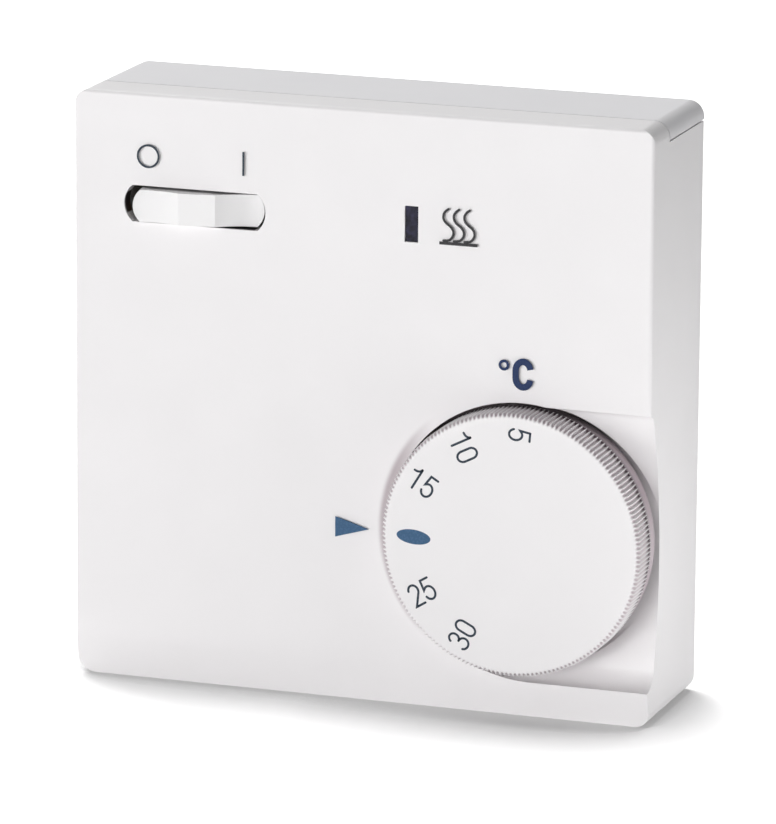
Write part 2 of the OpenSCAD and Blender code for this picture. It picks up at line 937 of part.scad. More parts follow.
module dial_knob() {
    collar_y = ring_cold_y - move_gap;
    collar_r = hub_r + collar_t;
    snap_r = hub_r + 0.4;
    snap_y = ring_warm_y + ring_t + 2 * fit_gap;
    color("whitesmoke")
        translate([knob_x, 0, knob_z])
            rotate([90, 0, 0])
                difference() {
                    rotate_extrude()
                        polygon([
                            [0, -face_y], [knob_r - knob_rim, -face_y],
                            [knob_r, -face_y - knob_rim], [knob_r, -face_y - grip_h],
                            [knob_r - grip_step, -face_y - grip_h],
                            [knob_r - grip_step, -skirt_y], [knob_r - knob_wall, -skirt_y],
                            [knob_r - knob_wall, -face_y - knob_wall],
                            [collar_r, -face_y - knob_wall], [collar_r, -collar_y],
                            [hub_r, -collar_y], [hub_r, -snap_y], [snap_r, -snap_y],
                            [snap_r, -snap_y - 0.3], [hub_r, -snap_y - 0.8],
                            [hub_r, -hub_y], [0, -hub_y]
                        ]);
                    translate([0, 0, -hub_y - cut])
                        linear_extrude(height = hub_y - spindle_tip_y + fit_gap + cut)
                            flatted(spindle_r + run_gap, flat_r + run_gap);
                }
}

// A range ring at y whose lug stands at angle a
module range_ring(y, a) {
    difference() {
        union() {
            bar_y(knob_x, knob_z, ring_r, y, y + ring_t);
            from_front(y, y + ring_t)
                translate([knob_x, knob_z])
                    rotate(a)
                        translate([hub_r + 1, -lug_w / 2])
                            square([lug_r - hub_r - 1, lug_w]);
        }
        bar_y(knob_x, knob_z, hub_r + run_gap, y - cut, y + ring_t + cut);
    }
}

module range_ring_cold() {
    color("royalblue")
        range_ring(ring_cold_y, cold_lug_angle);
}

module range_ring_warm() {
    color("firebrick")
        range_ring(ring_warm_y, warm_lug_angle);
}

module setting_spindle() {
    color("lightgray")
        difference() {
            bar_y(knob_x, knob_z, spindle_r, spindle_tip_y, spindle_back_y);
            // The flat that the knob's bore keys on
            block([knob_x - spindle_r, spindle_tip_y - cut, knob_z + flat_r],
                [knob_x + spindle_r, floor_y - move_gap, knob_z + spindle_r + cut]);
            difference() {
                bar_y(knob_x, knob_z, spindle_r + cut, circlip_y, circlip_y + circlip_t);
                bar_y(knob_x, knob_z, groove_r, circlip_y - cut, circlip_y + circlip_t + cut);
            }
        }
}

module spindle_bush() {
    color("goldenrod")
        difference() {
            union() {
                bar_y(knob_x, knob_z, bush_r, bush_y, bush_back_y);
                bar_y(knob_x, knob_z, flange_r, bush_y, bush_y + flange_t);
            }
            bar_y(knob_x, knob_z, spindle_r + run_gap, bush_y - cut, bush_back_y + cut);
        }
}

module spindle_circlip() {
    color("dimgray")
        difference() {
            bar_y(knob_x, knob_z, circlip_r, circlip_y + fit_gap / 2,
                circlip_y + circlip_t - fit_gap / 2);
            bar_y(knob_x, knob_z, groove_r, circlip_y - cut, circlip_y + circlip_t + cut);
            block([knob_x - groove_r, circlip_y - cut, knob_z - circlip_r - cut],
                [knob_x + groove_r, circlip_y + circlip_t + cut, knob_z]);
        }
}

module friction_washer() {
    color("silver")
        difference() {
            bar_y(knob_x, knob_z, flange_r - washer_edge, cam_back_y + run_gap,
                cam_back_y + run_gap + washer_t);
            bar_y(knob_x, knob_z, spindle_r + run_gap, cam_back_y - cut, cam_back_y + cut);
        }
}

module setting_cam() {
    color("ivory")
        difference() {
            union() {
                from_front(lever_y, cam_back_y)
                    translate([knob_x, knob_z])
                        polygon(concat(
                            [for (a = [cam_low_a : 3 : cam_high_a]) polar(cam_edge(a), a)],
                            [polar(cam_edge(cam_high_a), cam_high_a + 3)],
                            [for (a = [cam_high_a + 20 : 12 : cam_low_a + 350])
                                polar(cam_edge(cam_high_a), a)]
                        ));
                bar_y(knob_x, knob_z, hub_r, cam_hub_y, cam_back_y);
            }
            bar_y(knob_x, knob_z, spindle_r, cam_hub_y - cut, cam_back_y + cut);
        }
}

// ---------------------------------------------------------------- mechanism

module mechanism_frame() {
    color("gainsboro")
        difference() {
            union() {
                block([frame_left, frame_y, frame_low], [frame_right, -base_t, frame_top]);
                block([frame_left, frame_y, leg_low], [leg_right, -base_t, frame_low]);
                block([block_left, frame_y, leg_low], [block_right, -base_t, frame_low]);
                // Bearing tower for the spindle
                bar_y(knob_x, knob_z, tower_r, bush_y + flange_t, frame_y);
                // Boss behind the lever
                bar_y(lever_x, lever_z, lever_hub_r, cam_back_y + move_gap, frame_y);
                // Lug for the calibration screw
                block([cal_x - cal_lug_w / 2, lever_mid_y - cal_lug_w / 2, cal_lug_z],
                    [cal_x + cal_lug_w / 2, frame_y, cal_lug_z + cal_lug_h]);
                // Ledge under the lever's spring
                block([spring_x - ledge_w / 2, lever_mid_y - ledge_w / 2, spring_z - ledge_h],
                    [spring_x + ledge_w / 2, frame_y, spring_z]);
            }
            bar_y(knob_x, knob_z, bush_r, bush_y, frame_y + cut);
            bar_y(knob_x, knob_z, bush_r, frame_y - cut, bush_back_y);
            bar_y(knob_x, knob_z, circlip_r + move_gap, bush_back_y, -base_t + cut);
            bar_y(lever_x, lever_z, lever_pin_r, cam_back_y - cut, -base_t + cut);
            bar_z(cal_x, lever_mid_y, cal_r + run_gap, cal_lug_z - cut,
                cal_lug_z + cal_lug_h + cut);
            for (x = rivet_xs)
                bar_y(x, rivet_z, rivet_r, frame_y - cut, -base_t + cut);
            for (p = frame_screw_places)
                bar_y(p[0], p[1], frame_screw_r, frame_y - cut, -base_t + cut);
        }
}

module frame_screws() {
    color("silver")
        for (p = frame_screw_places)
            difference() {
                union() {
                    bar_y(p[0], p[1], frame_screw_head_r, frame_y - frame_screw_head_h, frame_y);
                    bar_y(p[0], p[1], frame_screw_r, frame_y, -base_t + frame_screw_bite);
                }
                screw_cross(p[0], p[1], frame_y - frame_screw_head_h, frame_screw_head_r);
            }
}

module setting_lever() {
    nose_z = knob_z + cam_r + cam_gap + nose_r;
    color("beige")
        difference() {
            union() {
                block([lever_left, lever_y, lever_z - lever_h / 2],
                    [knob_x + nose_r, cam_back_y, lever_z + lever_h / 2]);
                bar_y(lever_x, lever_z, lever_hub_r, lever_y, cam_back_y);
                // Follower over the cam
                block([knob_x - nose_r, lever_y, nose_z], [knob_x + nose_r, cam_back_y, lever_z]);
                bar_y(knob_x, nose_z, nose_r, lever_y, cam_back_y);
                // Seats for the fixed contact and the magnet
                block([contact_x - contact_d / 2 - contact_seat, lever_y, lever_z],
                    [contact_x + contact_d / 2 + contact_seat, cam_back_y,
                    fixed_top_z - contact_t]);
                block([lever_left, lever_y, lever_z], [magnet_x + magnet_l + magnet_end,
                    cam_back_y, magnet_top_z - magnet_h / 2]);
            }
            block([magnet_x, lever_y - cut, magnet_top_z - magnet_h],
                [magnet_x + magnet_l, cam_back_y + cut, magnet_top_z + cut]);
            bar_z(contact_x, lever_mid_y, contact_d / 2, fixed_top_z - contact_t,
                fixed_top_z + cut);
            bar_y(lever_x, lever_z, lever_pin_r + run_gap, lever_y - cut, cam_back_y + cut);
        }
}
module lever_pin() {
    color("silver") {
        bar_y(lever_x, lever_z, lever_pin_r, lever_y - move_gap, -base_t - fit_gap);
        bar_y(lever_x, lever_z, lever_pin_r + pin_head_t, lever_y - move_gap - pin_head_t,
            lever_y - move_gap);
    }
}

module lever_spring() {
    l = lever_z - lever_h / 2 - spring_z - 2 * fit_gap;
    color("gray")
        translate([spring_x, lever_mid_y, spring_z + fit_gap])
            coil(spring_r, spring_wire, l, spring_turns);
}

module fixed_contact() {
    color("silver")
        bar_z(contact_x, lever_mid_y, contact_d / 2, fixed_top_z - contact_t, fixed_top_z);
}

module snap_magnet() {
    color("dimgray")
        block([magnet_x, lever_y, magnet_top_z - magnet_h],
            [magnet_x + magnet_l, cam_back_y, magnet_top_z]);
}

module bimetal_strip() {
    color("tan")
        block([strip_left, strip_y, strip_z], [strip_right, strip_y + strip_w,
            strip_z + strip_t]);
}

module moving_contact() {
    color("silver")
        bar_z(contact_x, lever_mid_y, contact_d / 2, strip_z - contact_t, strip_z);
}

module armature_plate() {
    color("gray")
        block([strip_left, strip_y, strip_z - armature_t],
            [magnet_x + magnet_l + magnet_end, strip_y + strip_w, strip_z]);
}

module bimetal_bracket() {
    low_z = strip_z - jaw_gap - jaw_t;
    high_z = strip_z + strip_t + jaw_gap + jaw_t;
    foot_right = strip_right + jaw_gap + jaw_t;
    color("goldenrod")
        difference() {
            union() {
                block([strip_right - jaw_l, strip_y, low_z],
                    [foot_right, frame_y, high_z]);
                block([foot_left, foot_y, low_z], [foot_right, frame_y,
                    rivet_z + rivet_edge]);
            }
            block([strip_right - jaw_l - cut, strip_y - cut, strip_z - jaw_gap],
                [strip_right + jaw_gap, strip_y + strip_w + jaw_gap,
                strip_z + strip_t + jaw_gap]);
            for (x = rivet_xs)
                bar_y(x, rivet_z, rivet_r, foot_y - cut, frame_y + cut);
        }
}

module bracket_rivets() {
    color("silver")
        for (x = rivet_xs) {
            bar_y(x, rivet_z, rivet_r, foot_y, -base_t - fit_gap);
            bar_y(x, rivet_z, rivet_head_r, foot_y - rivet_head_h, foot_y);
        }
}

module calibration_screw() {
    head_z = cal_lug_z + cal_lug_h + move_gap;
    color("goldenrod")
        difference() {
            union() {
                bar_z(cal_x, lever_mid_y, cal_r, strip_z + strip_t + 1.5 * move_gap, head_z);
                bar_z(cal_x, lever_mid_y, cal_head_r, head_z, head_z + cal_head_h);
            }
            block([cal_x - cal_head_r - cut, lever_mid_y - move_gap, head_z + cal_head_h / 2],
                [cal_x + cal_head_r + cut, lever_mid_y + move_gap, head_z + cal_head_h + cut]);
        }
}

// A resistor's body along X, with its round end caps
module resistor_body(x, y, z, l, r) {
    cap = l * 0.24;
    bar_x(y, z, r * 0.86, x, x + l);
    for (x0 = [x, x + l - cap])
        bar_x(y, z, r, x0, x0 + cap);
}

module feedback_resistor() {
    color("forestgreen")
        resistor_body(feedback_x, lever_mid_y, feedback_z, feedback_l, feedback_r);
}

// One lead: out of a resistor's end at x, along Z to lead_z, and back through the board
module resistor_lead(x, dir, y, z, lead_z) {
    bend_x = x + dir * lead_reach;
    back_y = board_back_y + solder_l;
    if (lead_z == z)
        wire_path([[x, y, z], [bend_x, y, z], [bend_x, back_y, z]], lead_r);
    else
        wire_path([[x, y, z], [bend_x, y, z], [bend_x, y, lead_z],
            [bend_x, back_y, lead_z]], lead_r);
}

module feedback_leads() {
    color("silver") {
        resistor_lead(feedback_x, -1, lever_mid_y, feedback_z, hole_z);
        resistor_lead(feedback_x + feedback_l, 1, lever_mid_y, feedback_z, hole_z);
    }
}

module series_resistor() {
    color("tan")
        resistor_body(series_x, series_y, window_z, series_l, series_r);
}

module series_leads() {
    color("silver") {
        resistor_lead(series_x, -1, series_y, window_z, window_z);
        resistor_lead(series_x + series_l, 1, series_y, window_z, window_z);
    }
}

// ---------------------------------------------------------------- terminals

module terminal_block() {
    color("white")
        difference() {
            block([terminal_left, terminal_y, terminal_low],
                [terminal_left + terminal_w, -base_t, terminal_top]);
            for (i = [0 : terminal_n - 1]) {
                x = terminal_x(i);
                // Chamber for the clamp, open at the bottom for assembly
                block([x - chamber_w / 2, chamber_y, terminal_low - cut],
                    [x + chamber_w / 2, chamber_back_y, terminal_z + clamp_h / 2 + fit_gap]);
                // Port for the wire, from the top
                block([x - port_w / 2, clamp_y + 2 * clamp_t, terminal_z],
                    [x + port_w / 2, clamp_y + clamp_d - clamp_t, terminal_top + cut]);
                // Well for the screw and its head
                bar_y(x, terminal_z, screw_head_r + fit_gap, terminal_y - cut, chamber_y + cut);
            }
        }
}

module terminal_clamps() {
    color("goldenrod")
        for (i = [0 : terminal_n - 1]) {
            x = terminal_x(i);
            difference() {
                block([x - clamp_w / 2, clamp_y, terminal_z - clamp_h / 2],
                    [x + clamp_w / 2, clamp_y + clamp_d, terminal_z + clamp_h / 2]);
                block([x - clamp_w / 2 + clamp_t, clamp_y + 2 * clamp_t,
                    terminal_z - clamp_h / 2 - cut], [x + clamp_w / 2 - clamp_t,
                    clamp_y + clamp_d - clamp_t, terminal_z + clamp_h / 2 + cut]);
                bar_y(x, terminal_z, terminal_screw_d / 2, clamp_y - cut,
                    clamp_y + 2 * clamp_t + cut);
            }
        }
}

module terminal_screws() {
    head_y = clamp_y - move_gap - screw_head_h;
    end_y = wire_y - wire_r - fit_gap;
    color("silver")
        for (i = [0 : terminal_n - 1])
            difference() {
                union() {
                    bar_y(terminal_x(i), terminal_z, screw_head_r, head_y,
                        head_y + screw_head_h);
                    bar_y(terminal_x(i), terminal_z, terminal_screw_d / 2, head_y, end_y);
                }
                block([terminal_x(i) - screw_head_r - cut, head_y - cut,
                    terminal_z - move_gap], [terminal_x(i) + screw_head_r + cut,
                    head_y + screw_head_h / 2, terminal_z + move_gap]);
            }
}

// A busbar's tab in clamp i, its step back over the block, and its strip up to z1
module busbar_riser(i, z1) {
    step_z = leg_low;
    tab_z = terminal_z - tab_drop;
    from_front(tab_y, tab_y + busbar_t)
        translate([terminal_x(i) - busbar_w / 2, tab_z])
            square([busbar_w, step_z + busbar_t - tab_z]);
    from_front(tab_y, frame_y)
        translate([terminal_x(i) - busbar_w / 2, step_z])
            square([busbar_w, busbar_t]);
    from_front(frame_y - busbar_t, frame_y)
        translate([terminal_x(i) - busbar_w / 2, step_z])
            square([busbar_w, z1 - step_z]);
}

module line_busbar() {
    x = terminal_x(line_way);
    low_z = board_low - move_gap;
    pin_z = board_low + pin_rise;
    color("goldenrod") {
        busbar_riser(line_way, low_z);
        block([x - pin_w / 2, frame_y - busbar_t, low_z - pin_h],
            [x + pin_w / 2, frame_y, pin_z + pin_h / 2]);
        block([x - pin_w / 2, board_y - pin_h, pin_z - pin_h / 2],
            [x + pin_w / 2, frame_y, pin_z + pin_h / 2]);
    }
}

module load_busbar() {
    run_z = frame_low + busbar_edge;
    end_x = strip_right - busbar_w / 2;
    color("goldenrod") {
        busbar_riser(load_way, run_z + busbar_w);
        block([terminal_x(load_way), frame_y - busbar_t, run_z], [end_x, frame_y,
            run_z + busbar_w]);
        block([end_x - busbar_w, frame_y - busbar_t, run_z], [end_x, frame_y,
            strip_z - jaw_gap - jaw_t]);
    }
}

module neutral_wire() {
    x = terminal_x(neutral_way);
    color("lightblue")
        wire_path([
            [x, wire_y, terminal_z - tab_drop], [x, wire_y, wire_turn_z],
            [wire_x, wire_y, wire_turn_z], [wire_x, wire_y, board_low - wire_lift],
            [wire_x, wire_back_y, board_low - wire_lift], [wire_x, wire_back_y, hole_z],
            [wire_x, board_y + fit_gap, hole_z]
        ], wire_r);
}

// ---------------------------------------------------------------- board, switch and lamp

module circuit_board() {
    color("darkgreen")
        difference() {
            block([-board_x, board_y, board_low], [board_x, board_back_y, board_top]);
            for (p = board_posts)
                bar_y(p[0], p[1], board_screw_r + fit_gap, board_y - cut, board_back_y + cut);
            for (s = [-1, 0, 1])
                contact_way(s, board_y - cut, board_back_y + cut);
            for (s = [-1, 1])
                bar_y(window_x + s * lamp_lead_dx, window_z, lead_r + fit_gap, board_y - cut,
                    board_back_y + cut);
            for (x = [feedback_x - lead_reach, feedback_x + feedback_l + lead_reach])
                bar_y(x, hole_z, lead_r + fit_gap, board_y - cut, board_back_y + cut);
            for (x = [series_x - lead_reach, series_x + series_l + lead_reach])
                bar_y(x, window_z, lead_r + fit_gap, board_y - cut, board_back_y + cut);
            bar_y(wire_x, hole_z, wire_r + fit_gap, board_y - cut, board_back_y + cut);
            translate([terminal_x(line_way), 0, board_low + pin_rise])
                block([-pin_w / 2 - fit_gap, board_y - cut, -pin_h / 2 - fit_gap],
                    [pin_w / 2 + fit_gap, board_back_y + cut, pin_h / 2 + fit_gap]);
        }
}

module board_screws() {
    color("silver")
        for (p = board_posts)
            difference() {
                union() {
                    bar_y(p[0], p[1], board_screw_head_r, board_y - board_screw_head_h,
                        board_y);
                    bar_y(p[0], p[1], board_screw_r, board_y, -base_t / 2);
                }
                screw_cross(p[0], p[1], board_y - board_screw_head_h, board_screw_head_r);
            }
}

// A way for a switch contact's post, from y0 back to y1; s is -1, 0 or 1
module contact_way(s, y0, y1) {
    half_w = contact_post_w / 2 + fit_gap;
    half_h = contact_post_h / 2 + fit_gap;
    translate([slot_x + s * contact_post_x, 0, slot_z])
        block([-half_w, y0, -half_h], [half_w, y1, half_h]);
}

module switch_housing() {
    color("lightgray")
        difference() {
            block([slot_x - housing_x, housing_y, slot_z - housing_z],
                [slot_x + housing_x, board_y, slot_z + housing_z]);
            block([slot_x - cavity_half, housing_y - cut, slot_z - slot_h / 2],
                [slot_x + cavity_half, housing_floor_y, slot_z + slot_h / 2]);
            bar_z(slot_x, pivot_y, pivot_r + run_gap, slot_z - housing_z - cut,
                slot_z + housing_z + cut);
            for (s = [-1, 0, 1])
                contact_way(s, housing_floor_y - cut, board_y + cut);
        }
}

// Places a rocker piece: its pivot at the origin, turned with its I end pressed in
module on_rocker() {
    translate([slot_x, pivot_y, slot_z])
        rotate([0, 0, rocker_tilt])
            children();
}

// The rocker's section across its pivot, level, with each wing dished
module rocker_section() {
    end_y = -ridge_h + rocker_drop;
    difference() {
        union() {
            polygon([
                [-ridge_half, -ridge_h], [ridge_half, -ridge_h], [rocker_half, end_y],
                [rocker_half, end_y + wing_t], [-rocker_half, end_y + wing_t],
                [-rocker_half, end_y]
            ]);
            circle(r = hub_disc_r);
            translate([-stem_w / 2, end_y])
                square([stem_w, stem_l - end_y]);
        }
        for (s = [-1, 1])
            translate([s * (ridge_half + rocker_half) / 2, -ridge_h + rocker_drop / 2])
                rotate(s * dish_slope)
                    translate([0, dish_depth - dish_r])
                        circle(r = dish_r);
    }
}

module rocker_cap() {
    pin_z = housing_z - move_gap;
    color("white")
        on_rocker()
            difference() {
                union() {
                    intersection() {
                        from_top(-rocker_h / 2, rocker_h / 2)
                            rocker_section();
                        from_front(-ridge_h - cut, stem_l + cut)
                            bulged_slot(2 * rocker_half, rocker_h, slot_end_r - rocker_gap);
                    }
                    bar_z(0, 0, pivot_r, -pin_z, pin_z);
                }
                bar_y(0, 0, plunger_r + run_gap, bore_top, stem_l + cut);
            }
}

module rocker_plunger() {
    color("white")
        on_rocker() {
            bar_y(0, 0, plunger_r, plunger_tip - plunger_l, plunger_tip - plunger_r);
            translate([0, plunger_tip - plunger_r, 0])
                sphere(r = plunger_r);
        }
}

module plunger_spring() {
    l = plunger_tip - plunger_l - bore_top - 2 * run_gap;
    color("gray")
        on_rocker()
            translate([0, bore_top + run_gap, 0])
                rotate([-90, 0, 0])
                    coil(plunger_r - plunger_spring_wire - run_gap, plunger_spring_wire, l,
                        plunger_spring_turns);
}

module switch_blade() {
    color("goldenrod")
        translate([slot_x, blade_y, slot_z])
            rotate([0, 0, -blade_tilt])
                from_top(-blade_w / 2, blade_w / 2)
                    difference() {
                        translate([-blade_half, -1.5 * blade_t])
                            square([2 * blade_half, blade_t]);
                        circle(r = notch_r);
                    }
}

module switch_contacts() {
    side_y = blade_y - blade_t / 2 + contact_open + contact_post_x * tan(blade_tilt);
    back_y = board_back_y + solder_l;
    low_z = slot_z - contact_post_h / 2;
    high_z = slot_z + contact_post_h / 2;
    color("goldenrod") {
        block([slot_x - contact_post_w / 2, blade_y + move_gap, low_z],
            [slot_x + contact_post_w / 2, back_y, high_z]);
        bar_z(slot_x, blade_y, notch_r - fit_gap, low_z, high_z);
        for (s = [-1, 1])
            translate([slot_x + s * contact_post_x, 0, 0])
                block([-contact_post_w / 2, side_y, low_z],
                    [contact_post_w / 2, back_y, high_z]);
    }
}

module indicator_lens() {
    color("darkslateblue") {
        block([window_x - window_w / 2 + run_gap, front_y + lens_sink,
            window_z - window_h / 2 + run_gap], [window_x + window_w / 2 - run_gap,
            inner_y, window_z + window_h / 2 - run_gap]);
        block([window_x - window_w / 2 - lens_flange, inner_y,
            window_z - window_h / 2 - lens_flange], [window_x + window_w / 2 + lens_flange,
            inner_y + lens_flange_t, window_z + window_h / 2 + lens_flange]);
    }
}

module indicator_lamp() {
    lamp_r = lamp_d / 2;
    color("orange") {
        bar_y(window_x, window_z, lamp_r, lamp_y + lamp_r, lamp_back_y);
        translate([window_x, lamp_y + lamp_r, window_z])
            sphere(r = lamp_r);
    }
}

module lamp_leads() {
    color("silver")
        for (s = [-1, 1])
            bar_y(window_x + s * lamp_lead_dx, window_z, lead_r, lamp_back_y,
                board_back_y + solder_l);
}

base_plate();
front_cover();
cover_screw();
cover_screw_insert();
dial_knob();
range_ring_cold();
range_ring_warm();
setting_spindle();
spindle_bush();
spindle_circlip();
friction_washer();
setting_cam();
mechanism_frame();
frame_screws();
setting_lever();
lever_pin();
lever_spring();
fixed_contact();
snap_magnet();
bimetal_strip();
moving_contact();
armature_plate();
bimetal_bracket();
bracket_rivets();
calibration_screw();
feedback_resistor();
feedback_leads();
terminal_block();
terminal_clamps();
terminal_screws();
line_busbar();
load_busbar();
neutral_wire();
circuit_board();
board_screws();
switch_housing();
rocker_cap();
rocker_plunger();
plunger_spring();
switch_blade();
switch_contacts();
indicator_lens();
indicator_lamp();
lamp_leads();
series_resistor();
series_leads();
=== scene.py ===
# %% [markdown]
# # A wall thermostat, dressed
#
# The solids of this thermostat come from the CAD model, already in place and in metres. This script gives
# them their looks: the soft edges of moulded plastic, the knurled knob, the printed marks and a finish for
# every piece, inside and out. Nothing is moved. Every new piece is worked out from the CAD pieces' boxes.

# %% Load the CAD frame
import json

import bmesh
import bpy
import numpy as np
from mathutils import Matrix, Vector


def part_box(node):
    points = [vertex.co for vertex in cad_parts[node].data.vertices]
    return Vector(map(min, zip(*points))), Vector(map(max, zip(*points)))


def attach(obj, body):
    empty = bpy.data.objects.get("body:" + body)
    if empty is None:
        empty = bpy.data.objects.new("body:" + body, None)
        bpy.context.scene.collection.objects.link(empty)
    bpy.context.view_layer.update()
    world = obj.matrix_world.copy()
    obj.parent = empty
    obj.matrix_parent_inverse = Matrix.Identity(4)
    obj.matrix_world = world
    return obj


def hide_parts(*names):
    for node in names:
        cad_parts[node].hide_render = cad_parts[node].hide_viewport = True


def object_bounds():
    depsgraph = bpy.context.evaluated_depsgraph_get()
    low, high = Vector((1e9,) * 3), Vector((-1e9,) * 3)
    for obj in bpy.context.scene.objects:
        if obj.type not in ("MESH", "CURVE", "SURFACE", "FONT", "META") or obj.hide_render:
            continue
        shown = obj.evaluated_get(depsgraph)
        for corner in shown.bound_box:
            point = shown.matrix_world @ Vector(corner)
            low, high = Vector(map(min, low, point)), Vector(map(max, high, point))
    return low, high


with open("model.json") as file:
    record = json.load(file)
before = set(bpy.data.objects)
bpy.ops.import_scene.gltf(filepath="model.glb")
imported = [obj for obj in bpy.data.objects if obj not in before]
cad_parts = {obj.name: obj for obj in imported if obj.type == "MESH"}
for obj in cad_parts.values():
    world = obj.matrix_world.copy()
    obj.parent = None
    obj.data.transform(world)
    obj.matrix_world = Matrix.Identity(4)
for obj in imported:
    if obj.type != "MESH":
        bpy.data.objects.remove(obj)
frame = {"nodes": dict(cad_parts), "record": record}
nodes = frame["nodes"]
cad_box = [list(corner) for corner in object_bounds()]
mm = 0.001
print("CAD pieces:", len(nodes), "box in mm:", [[round(v / mm, 2) for v in c] for c in cad_box])

# %% [markdown]
# ## Main places
#
# Real parts are drawn around datums: a face, an axis, a centre line. Here the datums are read from the CAD
# boxes, so that marks and edges stay on the plastic if a size changes.

# %% Datums from the CAD boxes
def box_of(node):
    """The lowest and the highest corner of a CAD piece, as arrays."""
    return [np.array(corner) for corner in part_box(node)]


case_low, case_high = (np.array(corner) for corner in cad_box)
cover_low, cover_high = box_of("front_cover")
knob_low, knob_high = box_of("dial_knob")
rocker_low, rocker_high = box_of("rocker_cap")
front_y = cover_low[1]
face_y = knob_low[1]
knob_x, knob_z = (knob_low[[0, 2]] + knob_high[[0, 2]]) / 2
knob_r = (knob_high[0] - knob_low[0]) / 2
print("front at", round(front_y / mm, 2), "knob face at", round(face_y / mm, 2),
      "knob centre", round(knob_x / mm, 2), round(knob_z / mm, 2), "radius", round(knob_r / mm, 2))

# %% [markdown]
# ## Camera
#
# The view is a long-lens one from the upper right. A camera can be placed by typing its position, but an
# azimuth, an elevation and a distance around an aimed point are easier to read and to adjust, so the
# position is worked out from them.

# %% Camera from angles
def add_object(name, data):
    """A new object around the data given, linked into the scene."""
    obj = bpy.data.objects.new(name, data)
    bpy.context.scene.collection.objects.link(obj)
    return obj


view_azimuth = np.radians(19.13)
view_elevation = np.radians(13.50)
view_roll = np.radians(-0.4)
view_distance = 0.841
view_aim = np.array([0.0039, front_y, 0.0])
# The focal length is given as a multiple of the frame's longer side
focal_in_frames = 8.317

cos_azimuth, sin_azimuth = np.cos(view_azimuth), np.sin(view_azimuth)
cos_elevation, sin_elevation = np.cos(view_elevation), np.sin(view_elevation)
toward = np.array([sin_azimuth * cos_elevation, -cos_azimuth * cos_elevation, sin_elevation])
across = np.array([cos_azimuth, sin_azimuth, 0.0])
upward = np.cross(toward, across)
turned = [np.cos(view_roll) * across - np.sin(view_roll) * upward,
          np.sin(view_roll) * across + np.cos(view_roll) * upward]
camera_data = bpy.data.cameras.new("camera")
camera = add_object("camera", camera_data)
camera_data.sensor_width = 36.0
camera_data.lens = focal_in_frames * camera_data.sensor_width
camera_data.clip_end = 10.0
pose = np.eye(4)
pose[:3, 0], pose[:3, 1], pose[:3, 2] = turned[0], turned[1], toward
pose[:3, 3] = view_aim + view_distance * toward
camera.matrix_world = Matrix(pose.tolist())
bpy.context.scene.camera = camera
bpy.context.scene.view_settings.view_transform = "Standard"
print("lens", round(camera_data.lens, 1), "mm at", np.round(pose[:3, 3], 3))

# %% [markdown]
# ## Small tools for materials
#
# A finish is a chain of shader nodes. One helper turns a hex colour into the linear numbers that a shader
# wants, one adds a node with its settings and links, one starts a material with its main shader, and one
# gives a pattern its real size, so that each finish below reads as a short recipe.

# %% Colour and node helpers
def linear(hex_colour):
    """sRGB hex to linear: c/12.92 below 0.04045, else ((c + 0.055)/1.055) to the power 2.4."""
    text = hex_colour.lstrip("#")
    c = np.array([int(text[i:i + 2], 16) for i in (0, 2, 4)]) / 255
    low = c / 12.92
    high = ((c + 0.055) / 1.055) ** 2.4
    return (*np.where(c <= 0.04045, low, high).tolist(), 1.0)


def add_node(tree, kind, settings=None, links=None):
    """Adds one node: settings are its properties or input values, links are outputs for its inputs."""
    node = tree.nodes.new(kind)
    for key, value in (settings or {}).items():
        if isinstance(key, str) and hasattr(node, key):
            setattr(node, key, value)
        else:
            node.inputs[key].default_value = value
    for key, source in (links or {}).items():
        tree.links.new(source, node.inputs[key])
    return node


def start_finish(name, colour, **shader_values):
    """A material whose main shader has the colour and the values given; returns material, tree, shader."""
    material = bpy.data.materials.new(name)
    material.use_nodes = True
    tree = material.node_tree
    shader = tree.nodes["Principled BSDF"]
    shader.inputs["Base Color"].default_value = linear(colour)
    for key, value in shader_values.items():
        shader.inputs[key.replace("_", " ")].default_value = value
    return material, tree, shader


def places(tree, size_mm):
    """Object coordinates divided by a real size in millimetres along X, Y and Z."""
    coords = add_node(tree, "ShaderNodeTexCoord")
    scale = [1 / (size * mm) for size in size_mm]
    return add_node(tree, "ShaderNodeMapping", {"Scale": scale}, {"Vector": coords.outputs["Object"]})


print("white ABS in linear values:", np.round(linear("#f2f0f1")[:3], 3))

# %% [markdown]
# ## Moulded plastics
#
# The case, the knob and most small parts are injection moulded. Their mould is spark eroded, which leaves
# a fine, even grain that dulls the gloss, and thick spots sink by about a hundredth of a millimetre. A fine
# noise gives the grain, a wide one gives the slow unevenness, and both go through bump nodes, because the
# real relief is far too small to model. The wide noise also shifts the colour by a hair, and the fine one
# the gloss, as in any filled plastic.

# %% Moulded plastic finishes
sink_spacing_mm = 9
gloss_swing = 0.04


